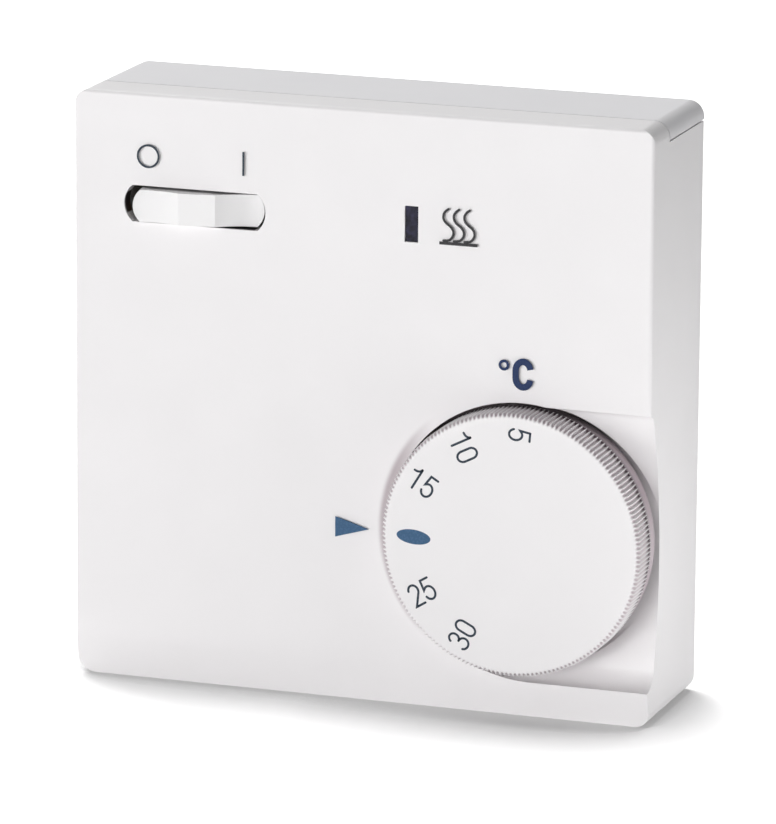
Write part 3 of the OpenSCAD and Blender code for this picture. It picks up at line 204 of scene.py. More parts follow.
def moulded(name, colour, second, roughness, grain_mm, grain_depth_mm, sink_depth_mm=0.01, **values):
    """A moulded plastic: its colour, a second one for the slow variation, its roughness, and the size and
    depth of its grain."""
    material, tree, shader = start_finish(name, colour, Roughness=roughness, **values)
    fine = places(tree, (grain_mm,) * 3)
    wide = places(tree, (sink_spacing_mm,) * 3)
    grain = add_node(tree, "ShaderNodeTexNoise", {"Scale": 1.0, "Detail": 3.0, "Roughness": 0.6},
                     {"Vector": fine.outputs[0]})
    sink = add_node(tree, "ShaderNodeTexNoise", {"Scale": 1.0, "Detail": 1.0}, {"Vector": wide.outputs[0]})
    mix = add_node(tree, "ShaderNodeMix", {"data_type": "RGBA", 6: linear(colour), 7: linear(second)},
                   {0: sink.outputs["Fac"]})
    gloss = add_node(tree, "ShaderNodeMapRange",
                     {"To Min": roughness - gloss_swing, "To Max": roughness + gloss_swing},
                     {"Value": grain.outputs["Fac"]})
    slow = add_node(tree, "ShaderNodeBump", {"Distance": sink_depth_mm * mm},
                    {"Height": sink.outputs["Fac"]})
    relief = add_node(tree, "ShaderNodeBump", {"Distance": grain_depth_mm * mm},
                      {"Height": grain.outputs["Fac"], "Normal": slow.outputs[0]})
    tree.links.new(mix.outputs[2], shader.inputs["Base Color"])
    tree.links.new(gloss.outputs[0], shader.inputs["Roughness"])
    tree.links.new(relief.outputs[0], shader.inputs["Normal"])
    return material


finishes = {
    # Satin white ABS, spark-eroded mould: a soft sheen, no mirror image
    "case_plastic": moulded("Satin white ABS, spark-eroded", "#efedee", "#ebe9ea", 0.42, 0.35, 0.006),
    "knob_plastic": moulded("Satin white ABS, knurled knob", "#efedee", "#ebe9ea", 0.40, 0.35, 0.005),
    "base_plastic": moulded("Satin white ABS, back plate", "#ebeaec", "#e6e5e8", 0.46, 0.35, 0.008),
    # Soft-gloss white ABS from a polished mould: hardly any grain, and flatter than the rest
    "rocker_plastic": moulded("Soft-gloss white ABS, polished mould", "#f3f2f2", "#f0eff0", 0.34, 0.3,
                              0.0005, sink_depth_mm=0.002),
    # Glass-filled polyamide: matt, cream, with fibres that show as a faint mottle
    "frame_plastic": moulded("Matt cream glass-filled polyamide", "#d8d4c6", "#cdc8b8", 0.58, 0.25, 0.012),
    # Acetal: waxy ivory, a little translucent
    "lever_plastic": moulded("Satin ivory acetal", "#e9e1c8", "#e1d8bc", 0.34, 0.5, 0.003,
                             Subsurface_Weight=0.15, Subsurface_Scale=0.0015),
    "switch_plastic": moulded("Matt light grey polyamide", "#b9bbbd", "#b0b2b5", 0.52, 0.3, 0.008),
    "terminal_plastic": moulded("Matt off-white polyamide", "#dcdbd4", "#d3d2ca", 0.50, 0.3, 0.008),
    "cold_ring_plastic": moulded("Satin blue acetal", "#2b5aa6", "#264f96", 0.36, 0.4, 0.004),
    "warm_ring_plastic": moulded("Satin red acetal", "#b02a2a", "#9d2222", 0.36, 0.4, 0.004),
    # Soft PVC over the wire: a smooth, slightly uneven extruded skin
    "wire_cover": moulded("Smooth blue PVC, extruded", "#2f62b3", "#2a569f", 0.30, 0.8, 0.006),
}
print("moulded finishes:", len(finishes))

# %% [markdown]
# The knob and the case share one white, but not in their crevices. The knurl's grooves, the skirt, the wall
# of the recess and the inside of the switch opening lie out of the light, and their shade is painted into
# the colour as a warm mauve grey. A tone is laid over the finish where a point's place asks for it. The
# knob's own attribute says how deep in a groove a point is, and its Object coordinates say how far behind
# the front it lies.

# %% Painted shade on the knob
def paint_shade(material, tone, *bands):
    """Paints shade over a finish's base colour, as a tone. A band is a value with the limits of its share,
    which goes smoothly from 0 at the first to 1 at the second. The shares of several bands are multiplied."""
    tree = material.node_tree
    amount = None
    for value, none_at, full_at in bands:
        limits = {"interpolation_type": "SMOOTHSTEP", "From Min": none_at, "From Max": full_at}
        share = add_node(tree, "ShaderNodeMapRange", limits, {"Value": value}).outputs[0]
        amount = share if amount is None else add_node(tree, "ShaderNodeMath", {"operation": "MULTIPLY"},
                                                       {0: amount, 1: share}).outputs[0]
    base = tree.nodes["Principled BSDF"].inputs["Base Color"]
    mix = add_node(tree, "ShaderNodeMix", {"data_type": "RGBA", 7: linear(tone)},
                   {0: amount, 6: base.links[0].from_socket})
    tree.links.new(mix.outputs[2], base)


knob_plastic = finishes["knob_plastic"]
knob_tree = knob_plastic.node_tree
knob_place = add_node(knob_tree, "ShaderNodeTexCoord").outputs["Object"]
knob_y = add_node(knob_tree, "ShaderNodeSeparateXYZ", {}, {"Vector": knob_place}).outputs["Y"]
in_groove = add_node(knob_tree, "ShaderNodeAttribute", {"attribute_name": "groove"}).outputs["Fac"]
at_rim = face_y + 1.0 * mm, face_y + 0.1 * mm
down_grip = front_y - 0.9 * mm, front_y + 0.9 * mm
past_grip = front_y + 0.85 * mm, front_y + 0.95 * mm
near_grip = front_y + 2.4 * mm, front_y + 0.95 * mm
# Painted shade in the knurl's grooves: darker all along, darker at the rim, darkest down the grip
paint_shade(knob_plastic, "#d2c8cc", (in_groove, 0.05, 0.9))
paint_shade(knob_plastic, "#b3a7ac", (in_groove, 0.1, 0.7), (knob_y, *at_rim))
paint_shade(knob_plastic, "#76686e", (in_groove, 0.0, 0.55), (knob_y, *down_grip))
# Painted shade on the skirt: mauve grey, darkest just under the grip
paint_shade(knob_plastic, "#b9acb2", (knob_y, *past_grip))
paint_shade(knob_plastic, "#6a5d62", (knob_y, *past_grip), (knob_y, *near_grip))
print("crevice tones on:", knob_plastic.name)

# %% [markdown]
# On the case a deep painted shade lies on the recess wall at the knob's upper left, and a far weaker
# painted shadow on the front close beside the knob's left, where the grip shuts out the light. Both are
# told by the distance from the dial's axis and by how far to one side of it a point lies. The switch
# opening gets the
# darkest painted shade: it is told by an ellipse round the rocker, and starts a little below the front, so
# that none of it shows there.

# %% Painted shade on the case
upper_left, left_side = (-0.6, 0, 0.8), (-1, 0, 0)
case_plastic = finishes["case_plastic"]
case_tree = case_plastic.node_tree
case_place = add_node(case_tree, "ShaderNodeTexCoord").outputs["Object"]
case_axes = add_node(case_tree, "ShaderNodeSeparateXYZ", {}, {"Vector": case_place}).outputs
off_axis = add_node(case_tree, "ShaderNodeMapping", {"Location": (-knob_x, 0, -knob_z), "Scale": (1, 0, 1)},
                    {"Vector": case_place}).outputs[0]
from_axis = add_node(case_tree, "ShaderNodeVectorMath", {"operation": "LENGTH"},
                     {0: off_axis}).outputs["Value"]
up_left = add_node(case_tree, "ShaderNodeVectorMath", {"operation": "DOT_PRODUCT", 1: upper_left},
                   {0: off_axis}).outputs["Value"]
leftward = add_node(case_tree, "ShaderNodeVectorMath", {"operation": "DOT_PRODUCT", 1: left_side},
                    {0: off_axis}).outputs["Value"]
recess_wall = knob_r + 0.5 * mm, knob_r + 0.35 * mm
below_front = front_y + 0.1 * mm, front_y + 0.9 * mm
# The case's right side cuts through the recess and keeps its own colour
inside_case = cover_high[0] - 0.02 * mm, cover_high[0] - 0.1 * mm
upper_left_part = 0.1 * knob_r, 0.6 * knob_r
beside_knob = knob_r + 2.0 * mm, knob_r + 1.2 * mm
left_part = 0.65 * knob_r, 1.0 * knob_r
# Painted shade on the recess wall, only at the knob's upper left
paint_shade(case_plastic, "#4a3c3f", (from_axis, *recess_wall), (case_axes["Y"], *below_front),
           (case_axes["X"], *inside_case), (up_left, *upper_left_part))
# Painted shadow on the front beside the knob's left edge
paint_shade(case_plastic, "#b3a9ad", (from_axis, *beside_knob), (leftward, *left_part))

slot_x, slot_z = (rocker_low[0] + rocker_high[0]) / 2, (rocker_low[2] + rocker_high[2]) / 2
slot_rx, slot_rz = 10.4 * mm, 3.3 * mm
to_slot = (-slot_x / slot_rx, 0, -slot_z / slot_rz)
in_slot = add_node(case_tree, "ShaderNodeMapping",
                   {"Location": to_slot, "Scale": (1 / slot_rx, 0, 1 / slot_rz)},
                   {"Vector": case_place}).outputs[0]
from_slot = add_node(case_tree, "ShaderNodeVectorMath", {"operation": "LENGTH"},
                     {0: in_slot}).outputs["Value"]
inside_slot = 1.0, 0.98
below_slot_edge = front_y + 0.3 * mm, front_y + 0.9 * mm
# Painted shade inside the switch opening, nearly black
paint_shade(case_plastic, "#2a2226", (from_slot, *inside_slot), (case_axes["Y"], *below_slot_edge))
print("crevice tones on:", case_plastic.name)

# %% [markdown]
# ## Metals
#
# Stamped brass, bright zinc, spring steel, tin and silver differ in colour and in the marks that making
# leaves: rolled strip has fine lines along it, plating has a faint cloudy bloom, and a forged or turned
# part is evenly satin. One recipe covers them: a stretched noise for the lines, a wide noise for the bloom.

# %% Metal finishes
bloom_mm = 2.5
line_swing = 0.06


def metal(name, colour, bloom, roughness, line_mm, depth_mm):
    """A metal: its colour, the colour of its bloom, gloss, and the size of its lines along X, Y and Z."""
    material, tree, shader = start_finish(name, colour, Metallic=1.0, Roughness=roughness)
    lines_at = places(tree, line_mm)
    bloom_at = places(tree, (bloom_mm,) * 3)
    lines = add_node(tree, "ShaderNodeTexNoise", {"Scale": 1.0, "Detail": 4.0},
                     {"Vector": lines_at.outputs[0]})
    cloud = add_node(tree, "ShaderNodeTexNoise", {"Scale": 1.0, "Detail": 2.0},
                     {"Vector": bloom_at.outputs[0]})
    mix = add_node(tree, "ShaderNodeMix", {"data_type": "RGBA", 6: linear(colour), 7: linear(bloom)},
                   {0: cloud.outputs["Fac"]})
    swing = add_node(tree, "ShaderNodeMapRange",
                     {"To Min": roughness - line_swing, "To Max": roughness + line_swing},
                     {"Value": lines.outputs["Fac"]})
    relief = add_node(tree, "ShaderNodeBump", {"Distance": depth_mm * mm},
                      {"Height": lines.outputs["Fac"]})
    tree.links.new(mix.outputs[2], shader.inputs["Base Color"])
    tree.links.new(swing.outputs[0], shader.inputs["Roughness"])
    tree.links.new(relief.outputs[0], shader.inputs["Normal"])
    return material


finishes.update({
    "brass": metal("Rolled brass, stamped", "#d9b46a", "#c49a52", 0.30, (2.0, 0.12, 0.12), 0.003),
    # Bright zinc plating on steel, with the bluish bloom of its passivation
    "zinc_steel": metal("Bright zinc-plated steel", "#c9ccd2", "#b6bcc8", 0.26, (0.4, 0.4, 0.4), 0.002),
    "spring_steel": metal("Drawn spring steel", "#8d8e92", "#7b7c82", 0.33, (0.3, 0.3, 0.3), 0.002),
    # Bimetal is rolled in two layers, so its lines run along the strip
    "bimetal": metal("Rolled bimetal strip", "#b3a795", "#a39781", 0.40, (4.0, 0.1, 0.1), 0.004),
    "silver_contact": metal("Satin silver contact rivet", "#e2e0da", "#cfccc2", 0.24, (0.3, 0.3, 0.3),
                            0.002),
    "tinned_wire": metal("Hot-tinned copper wire", "#cfd0d2", "#bcbdc2", 0.22, (0.5, 0.5, 0.5), 0.002),
})
print("finishes with metals:", len(finishes))

# %% [markdown]
# ## Lacquer, laminate, glass and the rest
#
# What is left is neither plain plastic nor metal. The board is paper soaked in phenolic resin, so fibres
# show under a half gloss. The window is a violet-blue acrylic that looks nearly black, and the marks are
# ink. These three differ only in how a cloudy noise goes from one colour to another, so one recipe makes
# them. The magnet is pressed powder, the lamp is drawn glass, and the resistors are dipped in lacquer and
# ringed with colour bands.

# %% Laminate, acrylic, ferrite, glass and lacquer
fibre_mm = 1.6, 1.6, 0.25
acrylic_cloud_mm = 0.7
powder_mm = 0.12
glass_wave_mm = 1.2, 1.2, 3.0
lacquer_sag_mm = 1.0
band_share = 0.07


def clouded(name, first, second, cloud_mm, detail, depth_mm=0, limits=None, **values):
    """A finish that goes from the first colour to the second with a cloudy noise: with its whole range, or
    only between the limits given. The noise also stands in relief where a depth is given."""
    material, tree, shader = start_finish(name, first, **values)
    at = places(tree, cloud_mm)
    cloud = add_node(tree, "ShaderNodeTexNoise", {"Scale": 1.0, "Detail": detail},
                     {"Vector": at.outputs[0]}).outputs["Fac"]
    share = cloud
    if limits:
        share = add_node(tree, "ShaderNodeMapRange", {"From Min": limits[0], "From Max": limits[1]},
                         {"Value": share}).outputs[0]
    mix = add_node(tree, "ShaderNodeMix", {"data_type": "RGBA", 6: linear(first), 7: linear(second)},
                   {0: share})
    tree.links.new(mix.outputs[2], shader.inputs["Base Color"])
    if depth_mm:
        relief = add_node(tree, "ShaderNodeBump", {"Distance": depth_mm * mm}, {"Height": cloud})
        tree.links.new(relief.outputs[0], shader.inputs["Normal"])
    return material


def ferrite_finish():
    """Sintered ferrite: a dark grey pressed powder with a granular, dull skin."""
    material, tree, shader = start_finish("Sintered ferrite, ground", "#3b3b3f", Roughness=0.55)
    at = places(tree, (powder_mm,) * 3)
    grain = add_node(tree, "ShaderNodeTexVoronoi", {"Scale": 1.0}, {"Vector": at.outputs[0]})
    mix = add_node(tree, "ShaderNodeMix", {"data_type": "RGBA", 6: linear("#2f2f33"), 7: linear("#4a4a4e")},
                   {0: grain.outputs["Distance"]})
    relief = add_node(tree, "ShaderNodeBump", {"Distance": 0.01 * mm},
                      {"Height": grain.outputs["Distance"]})
    tree.links.new(mix.outputs[2], shader.inputs["Base Color"])
    tree.links.new(relief.outputs[0], shader.inputs["Normal"])
    return material


def glass_finish():
    """Soda-lime glass, drawn: clear, with a breath of orange from the neon and slight waves."""
    material, tree, shader = start_finish("Clear drawn glass, neon tint", "#ffe6d2", Roughness=0.03,
                                          IOR=1.47, Transmission_Weight=1.0)
    at = places(tree, glass_wave_mm)
    wave = add_node(tree, "ShaderNodeTexNoise", {"Scale": 1.0, "Detail": 1.0}, {"Vector": at.outputs[0]})
    relief = add_node(tree, "ShaderNodeBump", {"Distance": 0.03 * mm}, {"Height": wave.outputs["Fac"]})
    tree.links.new(relief.outputs[0], shader.inputs["Normal"])
    return material


def lacquer_finish(name, node, ground, bands):
    """Dipped lacquer over a resistor: the ground colour, and bands that start at shares of the body's
    length. Its length runs along the axis on which its box is longest."""
    low, high = box_of(node)
    axis = int(np.argmax(high - low))
    material, tree, shader = start_finish(name, ground, Roughness=0.22)
    coords = add_node(tree, "ShaderNodeTexCoord")
    split = add_node(tree, "ShaderNodeSeparateXYZ", {}, {"Vector": coords.outputs["Object"]})
    along = add_node(tree, "ShaderNodeMapRange", {"From Min": low[axis], "From Max": high[axis]},
                     {"Value": split.outputs[axis]})
    ramp = add_node(tree, "ShaderNodeValToRGB", {}, {"Fac": along.outputs[0]})
    ramp.color_ramp.interpolation = "CONSTANT"
    stops = ramp.color_ramp.elements
    stops[0].position, stops[0].color = 0.0, linear(ground)
    stops[1].position, stops[1].color = 0.999, linear(ground)
    for start, colour in bands:
        stop = stops.new(start)
        stop.color = linear(colour)
        stop = stops.new(start + band_share)
        stop.color = linear(ground)
    at = places(tree, (lacquer_sag_mm,) * 3)
    sag = add_node(tree, "ShaderNodeTexNoise", {"Scale": 1.0, "Detail": 1.0}, {"Vector": at.outputs[0]})
    relief = add_node(tree, "ShaderNodeBump", {"Distance": 0.03 * mm}, {"Height": sag.outputs["Fac"]})
    tree.links.new(ramp.outputs["Color"], shader.inputs["Base Color"])
    tree.links.new(relief.outputs[0], shader.inputs["Normal"])
    return material


finishes.update({
    # Tan laminate with short fibres under a resin skin
    "board_laminate": clouded("Paper-phenolic laminate, pressed", "#9a6f36", "#b98c4c", fibre_mm, 6.0,
                              0.004, Roughness=0.30),
    # Polished acrylic, nearly black in the mass, with a clear gloss and a faint cloudiness
    "lens_plastic": clouded("Dark violet-blue acrylic, polished", "#12111b", "#302e48",
                            (acrylic_cloud_mm,) * 3, 3.0, 0.01, (0.35, 0.75),
                            Roughness=0.2, IOR=1.49, Specular_IOR_Level=0.25),
    "magnet": ferrite_finish(),
    "lamp_glass": glass_finish(),
    "resistor_body": lacquer_finish("Tan dipped lacquer, banded", "series_resistor", "#c9ab72",
                                    [(0.22, "#6b3a1e"), (0.36, "#1f1f1f"), (0.50, "#d8a41c"),
                                     (0.74, "#b98a2e")]),
    "heater_body": lacquer_finish("Green dipped lacquer, banded", "feedback_resistor", "#4f7f5c",
                                  [(0.24, "#5a3018"), (0.38, "#1c2c6e"), (0.52, "#1f1f1f")]),
})
print("finishes in all:", len(finishes))

# %% [markdown]
# ## Finishes onto the CAD pieces
#
# The CAD model says which finish each piece has, by the name of a material slot. The piece keeps its
# shape, and only what fills the slot changes. Round CAD pieces come as flat facets, so their smooth
# shading is left as it was loaded.

# %% Fill every CAD slot
slot_of = {row["node"]: row["material_slot"] for row in frame["record"]["subparts"]}
for node_name, obj in nodes.items():
    for material_slot in obj.material_slots:
        material_slot.material = finishes[slot_of[node_name]]
print("CAD pieces given a finish:", len(nodes))

# %% [markdown]
# ## Putting a surface into Blender
#
# A surface here is a table of points: rows along one direction, columns along the other. Four neighbours
# make a face. One function builds the faces for the whole table at once, and one puts points and faces
# into a mesh, gives it a finish and says which moving body carries it.

# %% Surface helpers
def grid_faces(rows, columns, wrap=False):
    """Quads of a table of rows x columns points: (i, j), (i, j+1), (i+1, j+1), (i+1, j). With wrap, the
    last column is joined to the first."""
    i, j = np.meshgrid(np.arange(rows - 1), np.arange(columns if wrap else columns - 1), indexing="ij")
    i, j = i.ravel(), j.ravel()
    i1, j1 = i + 1, (j + 1) % columns
    return np.stack([i * columns + j, i * columns + j1, i1 * columns + j1, i1 * columns + j], axis=1)


def put(name, points, faces, finish, body, slot, smooth_angle=30):
    """Makes the mesh object, shades it smooth below the angle, and lets it ride on its body."""
    mesh = bpy.data.meshes.new(name)
    mesh.from_pydata(np.asarray(points).reshape(-1, 3).tolist(), [], [list(map(int, f)) for f in faces])
    mesh.validate()
    mesh.materials.append(finish)
    obj = add_object(name, mesh)
    shade(obj, smooth_angle)
    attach(obj, body)
    return obj


def shade(obj, smooth_angle):
    """Outward faces, and smooth shading except where two faces meet at more than the angle."""
    work = bmesh.new()
    work.from_mesh(obj.data)
    bmesh.ops.recalc_face_normals(work, faces=work.faces)
    limit = float(np.radians(smooth_angle))
    for face in work.faces:
        face.smooth = True
    for edge in work.edges:
        edge.smooth = len(edge.link_faces) == 2 and edge.calc_face_angle(0.0) < limit
    work.to_mesh(obj.data)
    work.free()


print("a 3 x 4 table has", len(grid_faces(3, 4)), "faces")

# %% [markdown]
# ## Soft edges on moulded shells
#
# No moulded edge is sharp: the mould's corner leaves a radius of a tenth or two of a millimetre, and that
# thin line of light is much of what makes plastic look real. The case's outer edges are rounded in CAD
# already. What is left are the rims of its openings, so the shell is copied, its triangles are merged back
# into flat faces, and a bevel rounds only the edges on its front or back plane. The broad flat faces then
# keep their own direction in the shading, so that the narrow rounded strips beside them don't dent them.
# The rocker's cap is rounded all over, and its faces meet at shallow angles, so even those count as edges.

# %% Shells with soft edges
weld_reach = 1e-6
flat_degrees = 0.05
level_reach = 0.001 * mm
edge_segments = 3


def soften(node, name, radius_mm, plane_y=None, angle=25, body="case"):
    """A copy of a CAD piece: points merged, flat faces joined, and the edges past the angle rounded, either
    all of them or those whose both ends lie in the plane y = plane_y."""
    mesh = nodes[node].data.copy()
    mesh.name = name
    obj = add_object(name, mesh)
    work = bmesh.new()
    work.from_mesh(mesh)
    bmesh.ops.remove_doubles(work, verts=work.verts, dist=weld_reach)
    flat = np.radians(flat_degrees)
    bmesh.ops.dissolve_limit(work, angle_limit=flat, verts=work.verts, edges=work.edges)
    weights = work.edges.layers.float.new("bevel_weight_edge")
    limit = float(np.radians(angle))
    chosen = 0
    for edge in work.edges:
        sharp = len(edge.link_faces) == 2 and edge.calc_face_angle(0.0) > limit
        level = plane_y is None or all(abs(v.co.y - plane_y) < level_reach for v in edge.verts)
        edge[weights] = float(sharp and level)
        chosen += int(sharp and level)
    work.to_mesh(mesh)
    work.free()
    shade(obj, angle)
    bevel = obj.modifiers.new("soft edge", "BEVEL")
    bevel.width = radius_mm * mm
    bevel.segments = edge_segments
    bevel.limit_method = "WEIGHT"
    bevel.use_clamp_overlap = True
    flats = obj.modifiers.new("flat faces lead", "WEIGHTED_NORMAL")
    flats.keep_sharp = True
    flats.weight = 100
    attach(obj, body)
    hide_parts(node)
    print(name, "edges rounded:", chosen)


rim_radius_mm, rocker_radius_mm = 0.16, 0.1
rocker_edge = 7
soften("front_cover", "front_shell", rim_radius_mm, plane_y=front_y)
soften("base_plate", "back_shell", rim_radius_mm, plane_y=case_high[1])
soften("rocker_cap", "rocker_shell", rocker_radius_mm, angle=rocker_edge, body="rocker")

# %% [markdown]
# ## The knurled knob
#
# The knob is a turned shape with 182 straight teeth round its grip. It could be a revolved profile with an
# array of tooth cutters, but cutters give ragged edges. A surface of two parameters is cleaner: the profile
# runs from the middle of the face over the rim, down the grip and the skirt, and back up inside to the hub,
# and the angle runs round it. At each profile point the grooves are pressed in along the profile's own
# outward direction, by a depth that is nothing on the face and full on the grip.

# %% Knob profile and knurl
tooth_count = 182
tooth_columns = 8
groove_depth = 0.27 * mm
knob_wall = 1.6 * mm
grip_end_y = front_y + 0.9 * mm
grip_edge, grip_nick = 0.12 * mm, 0.02 * mm
skirt_r, inner_r = knob_r - 0.35 * mm, knob_r - knob_wall
skirt_end_y = front_y + 3.7 * mm
skirt_chamfer, inner_chamfer = 0.15 * mm, 0.1 * mm
hub_end_y = knob_high[1]
rim = 0.6 * mm
flat_face_r, bite_r = knob_r - 2.4 * rim, knob_r - 1.25 * rim
bite_start, bite_rise = 0.12, 1.7


def knob_profile():
    """Radius, y and groove share along the knob's profile. The rim is a quarter circle, along which the
    share grows evenly from bite_start and is full before the grip, and the grooves run out at bite_r."""
    turn = np.linspace(0, np.pi / 2, 7)
    rim_rows = np.stack([knob_r - rim + rim * np.sin(turn), face_y + rim - rim * np.cos(turn),
                         np.clip(bite_start + turn / (np.pi / 2) * bite_rise, 0, 1)], axis=1)
    middle = np.array([[flat_face_r, face_y, 0.0], [bite_r, face_y, 0.0]])
    lower = np.array([
        [knob_r, (face_y + grip_end_y) / 2, 1.0], [knob_r, grip_end_y - grip_edge, 1.0],
        [knob_r - grip_nick, grip_end_y - grip_nick, 1.0],
        [skirt_r, grip_end_y, 0.0], [skirt_r, skirt_end_y - skirt_chamfer, 0.0],
        [skirt_r - skirt_chamfer, skirt_end_y, 0.0], [inner_r + inner_chamfer, skirt_end_y, 0.0],
        [inner_r, skirt_end_y - inner_chamfer, 0.0], [inner_r, face_y + knob_wall, 0.0]
    ])
    return np.concatenate([middle, rim_rows, lower])


print("profile rows:", len(knob_profile()))

# %% [markdown]
# Behind the face the profile goes on over a collar, the seat of the two limiter rings and the snap that
# keeps them on, to the hub's end. The bore comes back up inside it, round but for the flat that turns the
# spindle. Its rows end the table of points, so that the whole knob is one closed skin.

# %% Knob surface
hub_r, collar_r, snap_r = 4.6 * mm, 6.5 * mm, 5.0 * mm
bore_r, flat_r = 3.05 * mm, 2.15 * mm
collar_y = box_of("range_ring_cold")[0][1] - 0.3 * mm
snap_y = box_of("range_ring_warm")[1][1] + 0.2 * mm
bore_top_y = box_of("setting_spindle")[0][1] - 0.1 * mm
snap_land, snap_taper = 0.3 * mm, 0.8 * mm
groove_gain, ridge_share = 1.35, 0.12
flat_cos, shortest = 0.2, 1e-12


def knob_points():
    """Points of the knob: x = r sin a and z = r cos a at the angle a, with r and y from the profile. A
    groove is pressed in by its depth x share x (gain x (1 - |2u - 1|) - ridge share), the bracket kept
    between 0 and 1, where u is the place within a tooth. That leaves a thin ridge between wide V grooves.
    The bore's radius is the smaller of bore_r and flat_r / cos a, and flat_cos guards that division."""
    hub = np.array([[collar_r, face_y + knob_wall], [collar_r, collar_y], [hub_r, collar_y],
                    [hub_r, snap_y], [snap_r, snap_y], [snap_r, snap_y + snap_land],
                    [hub_r, snap_y + snap_taper], [hub_r, hub_end_y]])
    profile = np.concatenate([knob_profile(), np.column_stack([hub, np.zeros(len(hub))])])
    columns = tooth_count * tooth_columns
    a = np.arange(columns) * 2 * np.pi / columns
    u = (np.arange(columns) % tooth_columns) / tooth_columns
    groove = np.clip((1 - np.abs(2 * u - 1)) * groove_gain - ridge_share, 0, 1)
    r, y, share = (profile[:, k][:, None] for k in range(3))
    out_r = np.gradient(y[:, 0])
    out_y = -np.gradient(r[:, 0])
    length = np.maximum(np.hypot(out_r, out_y), shortest)
    out_r, out_y = (out_r / length)[:, None], (out_y / length)[:, None]
    depth = share * groove[None, :]
    r_all = r - np.abs(out_r) * depth * groove_depth
    y_all = y - out_y * depth * groove_depth
    bore = np.minimum(bore_r, flat_r / np.maximum(np.cos(a), flat_cos))[None, :]
    r_all = np.concatenate([r_all, bore, bore])
    y_all = np.concatenate([y_all, np.full_like(bore, hub_end_y), np.full_like(bore, bore_top_y)])
    depth = np.concatenate([depth, np.zeros((2, columns))])
    return np.stack([knob_x + r_all * np.sin(a), y_all, knob_z + r_all * np.cos(a)], axis=-1), depth


knob_table, knob_depth = knob_points()
rows, columns = knob_table.shape[:2]
knob_faces = grid_faces(rows, columns, wrap=True).tolist()
# The face's middle and the bore's end are flat, so each is closed by one many-sided face
knob_faces += [list(range(columns)), list(range((rows - 1) * columns, rows * columns))]
knob = put("knurled_knob", knob_table, knob_faces, knob_plastic, "dial", "knob_plastic", smooth_angle=35)
groove_data = knob.data.attributes.new("groove", "FLOAT", "POINT")
groove_data.data.foreach_set("value", knob_depth.ravel())
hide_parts("dial_knob")
print("knob:", rows, "rows x", columns, "columns,", len(knob.data.polygons), "faces")

# %% [markdown]
# ## Printed marks
#
# The marks are pad printed: a soft silicone pad lays down ink under a hundredth of a millimetre thick.
# Paint in a material would be one way, but a thin raised film keeps its sharp edge from any distance. Each
# mark is drawn by its centre line, as a pen plotter does, and a ribbon of the stroke's width is laid along
# it. The lines are straight runs and arcs of ellipses.

# %% Ribbon along a centre line
ink_thick = 0.006 * mm
ink_sunk = 0.01 * mm
same_place = 1e-7
mitre_limit = 0.35


def arc(cx, cz, rx, rz, start, end, steps):
    """Points of an ellipse: centre + (rx cos a, rz sin a) for a from start to end, in degrees."""
    a = np.radians(np.linspace(start, end, steps))
    return np.column_stack([cx + rx * np.cos(a), cz + rz * np.sin(a)])


def line(*corners):
    """Points of a straight run through the corners given."""
    return np.array(corners, float)


def ribbon(path, width, round_ends=True):
    """Both edges of a stroke: the path moved sideways by half the width along its own normal, with the
    middle of each corner mitred, and half circles for the ends. Returns the outline as one closed loop, or
    two loops, outside and inside, for a path that ends where it starts."""
    path = np.asarray(path, float)
    keep = np.r_[True, np.hypot(*np.diff(path, axis=0).T) > same_place]
    path = path[keep]
    if np.hypot(*(path[0] - path[-1])) < same_place:
        near, far = np.roll(path[:-1], 1, axis=0), np.roll(path[:-1], -1, axis=0)
        way = (far - near) / np.hypot(*(far - near).T)[:, None]
        side = np.column_stack([-way[:, 1], way[:, 0]]) * width / 2
        return np.stack([path[:-1] - side, path[:-1] + side])
    step = np.diff(path, axis=0)
    step /= np.hypot(step[:, 0], step[:, 1])[:, None]
    before, after = np.vstack([step[:1], step]), np.vstack([step, step[-1:]])
    mid = before + after
    mid /= np.maximum(np.hypot(mid[:, 0], mid[:, 1]), same_place)[:, None]
    widen = 1 / np.maximum(np.sum(mid * after, axis=1), mitre_limit)
    normal = np.column_stack([-mid[:, 1], mid[:, 0]]) * (widen * width / 2)[:, None]
    left, right = path + normal, path - normal
    if not round_ends:
        return np.vstack([left, right[::-1]])
    half = np.linspace(np.pi / 2, -np.pi / 2, 9)[1:-1]
    ends = []
    for point, way in ((path[-1], step[-1]), (path[0], -step[0])):
        side = np.array([-way[1], way[0]])
        ends.append(point + width / 2 * (np.cos(half)[:, None] * way + np.sin(half)[:, None] * side))
    return np.vstack([left, ends[0], right[::-1], ends[1]])


def film(loops, level_y):
    """Thin closed slabs from flat loops of x and z: front and back faces, and a wall round each loop. A
    pair of loops is the outside and the inside of a ring, whose faces are strips between the two."""
    points, faces = [], []
    for loop in loops:
        rings = loop if loop.ndim == 3 else loop[None]
        n, start = rings.shape[1], len(points)
        for flat in rings:
            for y in (level_y - ink_thick, level_y + ink_sunk):
                points += np.column_stack([flat[:, 0], np.full(n, y), flat[:, 1]]).tolist()
        i = np.arange(n)
        i1 = (i + 1) % n
        starts = start + 2 * n * np.arange(len(rings))
        for first in starts:
            faces += (np.column_stack([i, i1, i1 + n, i + n]) + first).tolist()
        if len(rings) == 1:
            faces += [(start + i).tolist(), (start + n + i[::-1]).tolist()]
        else:
            outer, inner = starts
            for lift in (0, n):
                faces += (np.column_stack([outer + i, outer + i1, inner + i1, inner + i]) + lift).tolist()
    return points, faces


print("a short stroke has", len(ribbon(line((0, 0), (1, 0)), 0.2)), "outline points")

# %% [markdown]
# Ink differs from plastic: it is a thin film, a little duller than what it lies on, and a second colour
# shows where it is thinner still. Four inks were used: a blue for the pointer and the mark that it points
# at, a navy for the degree sign, a slate for the figures and the switch signs, and a dark grey for the heat
# sign.

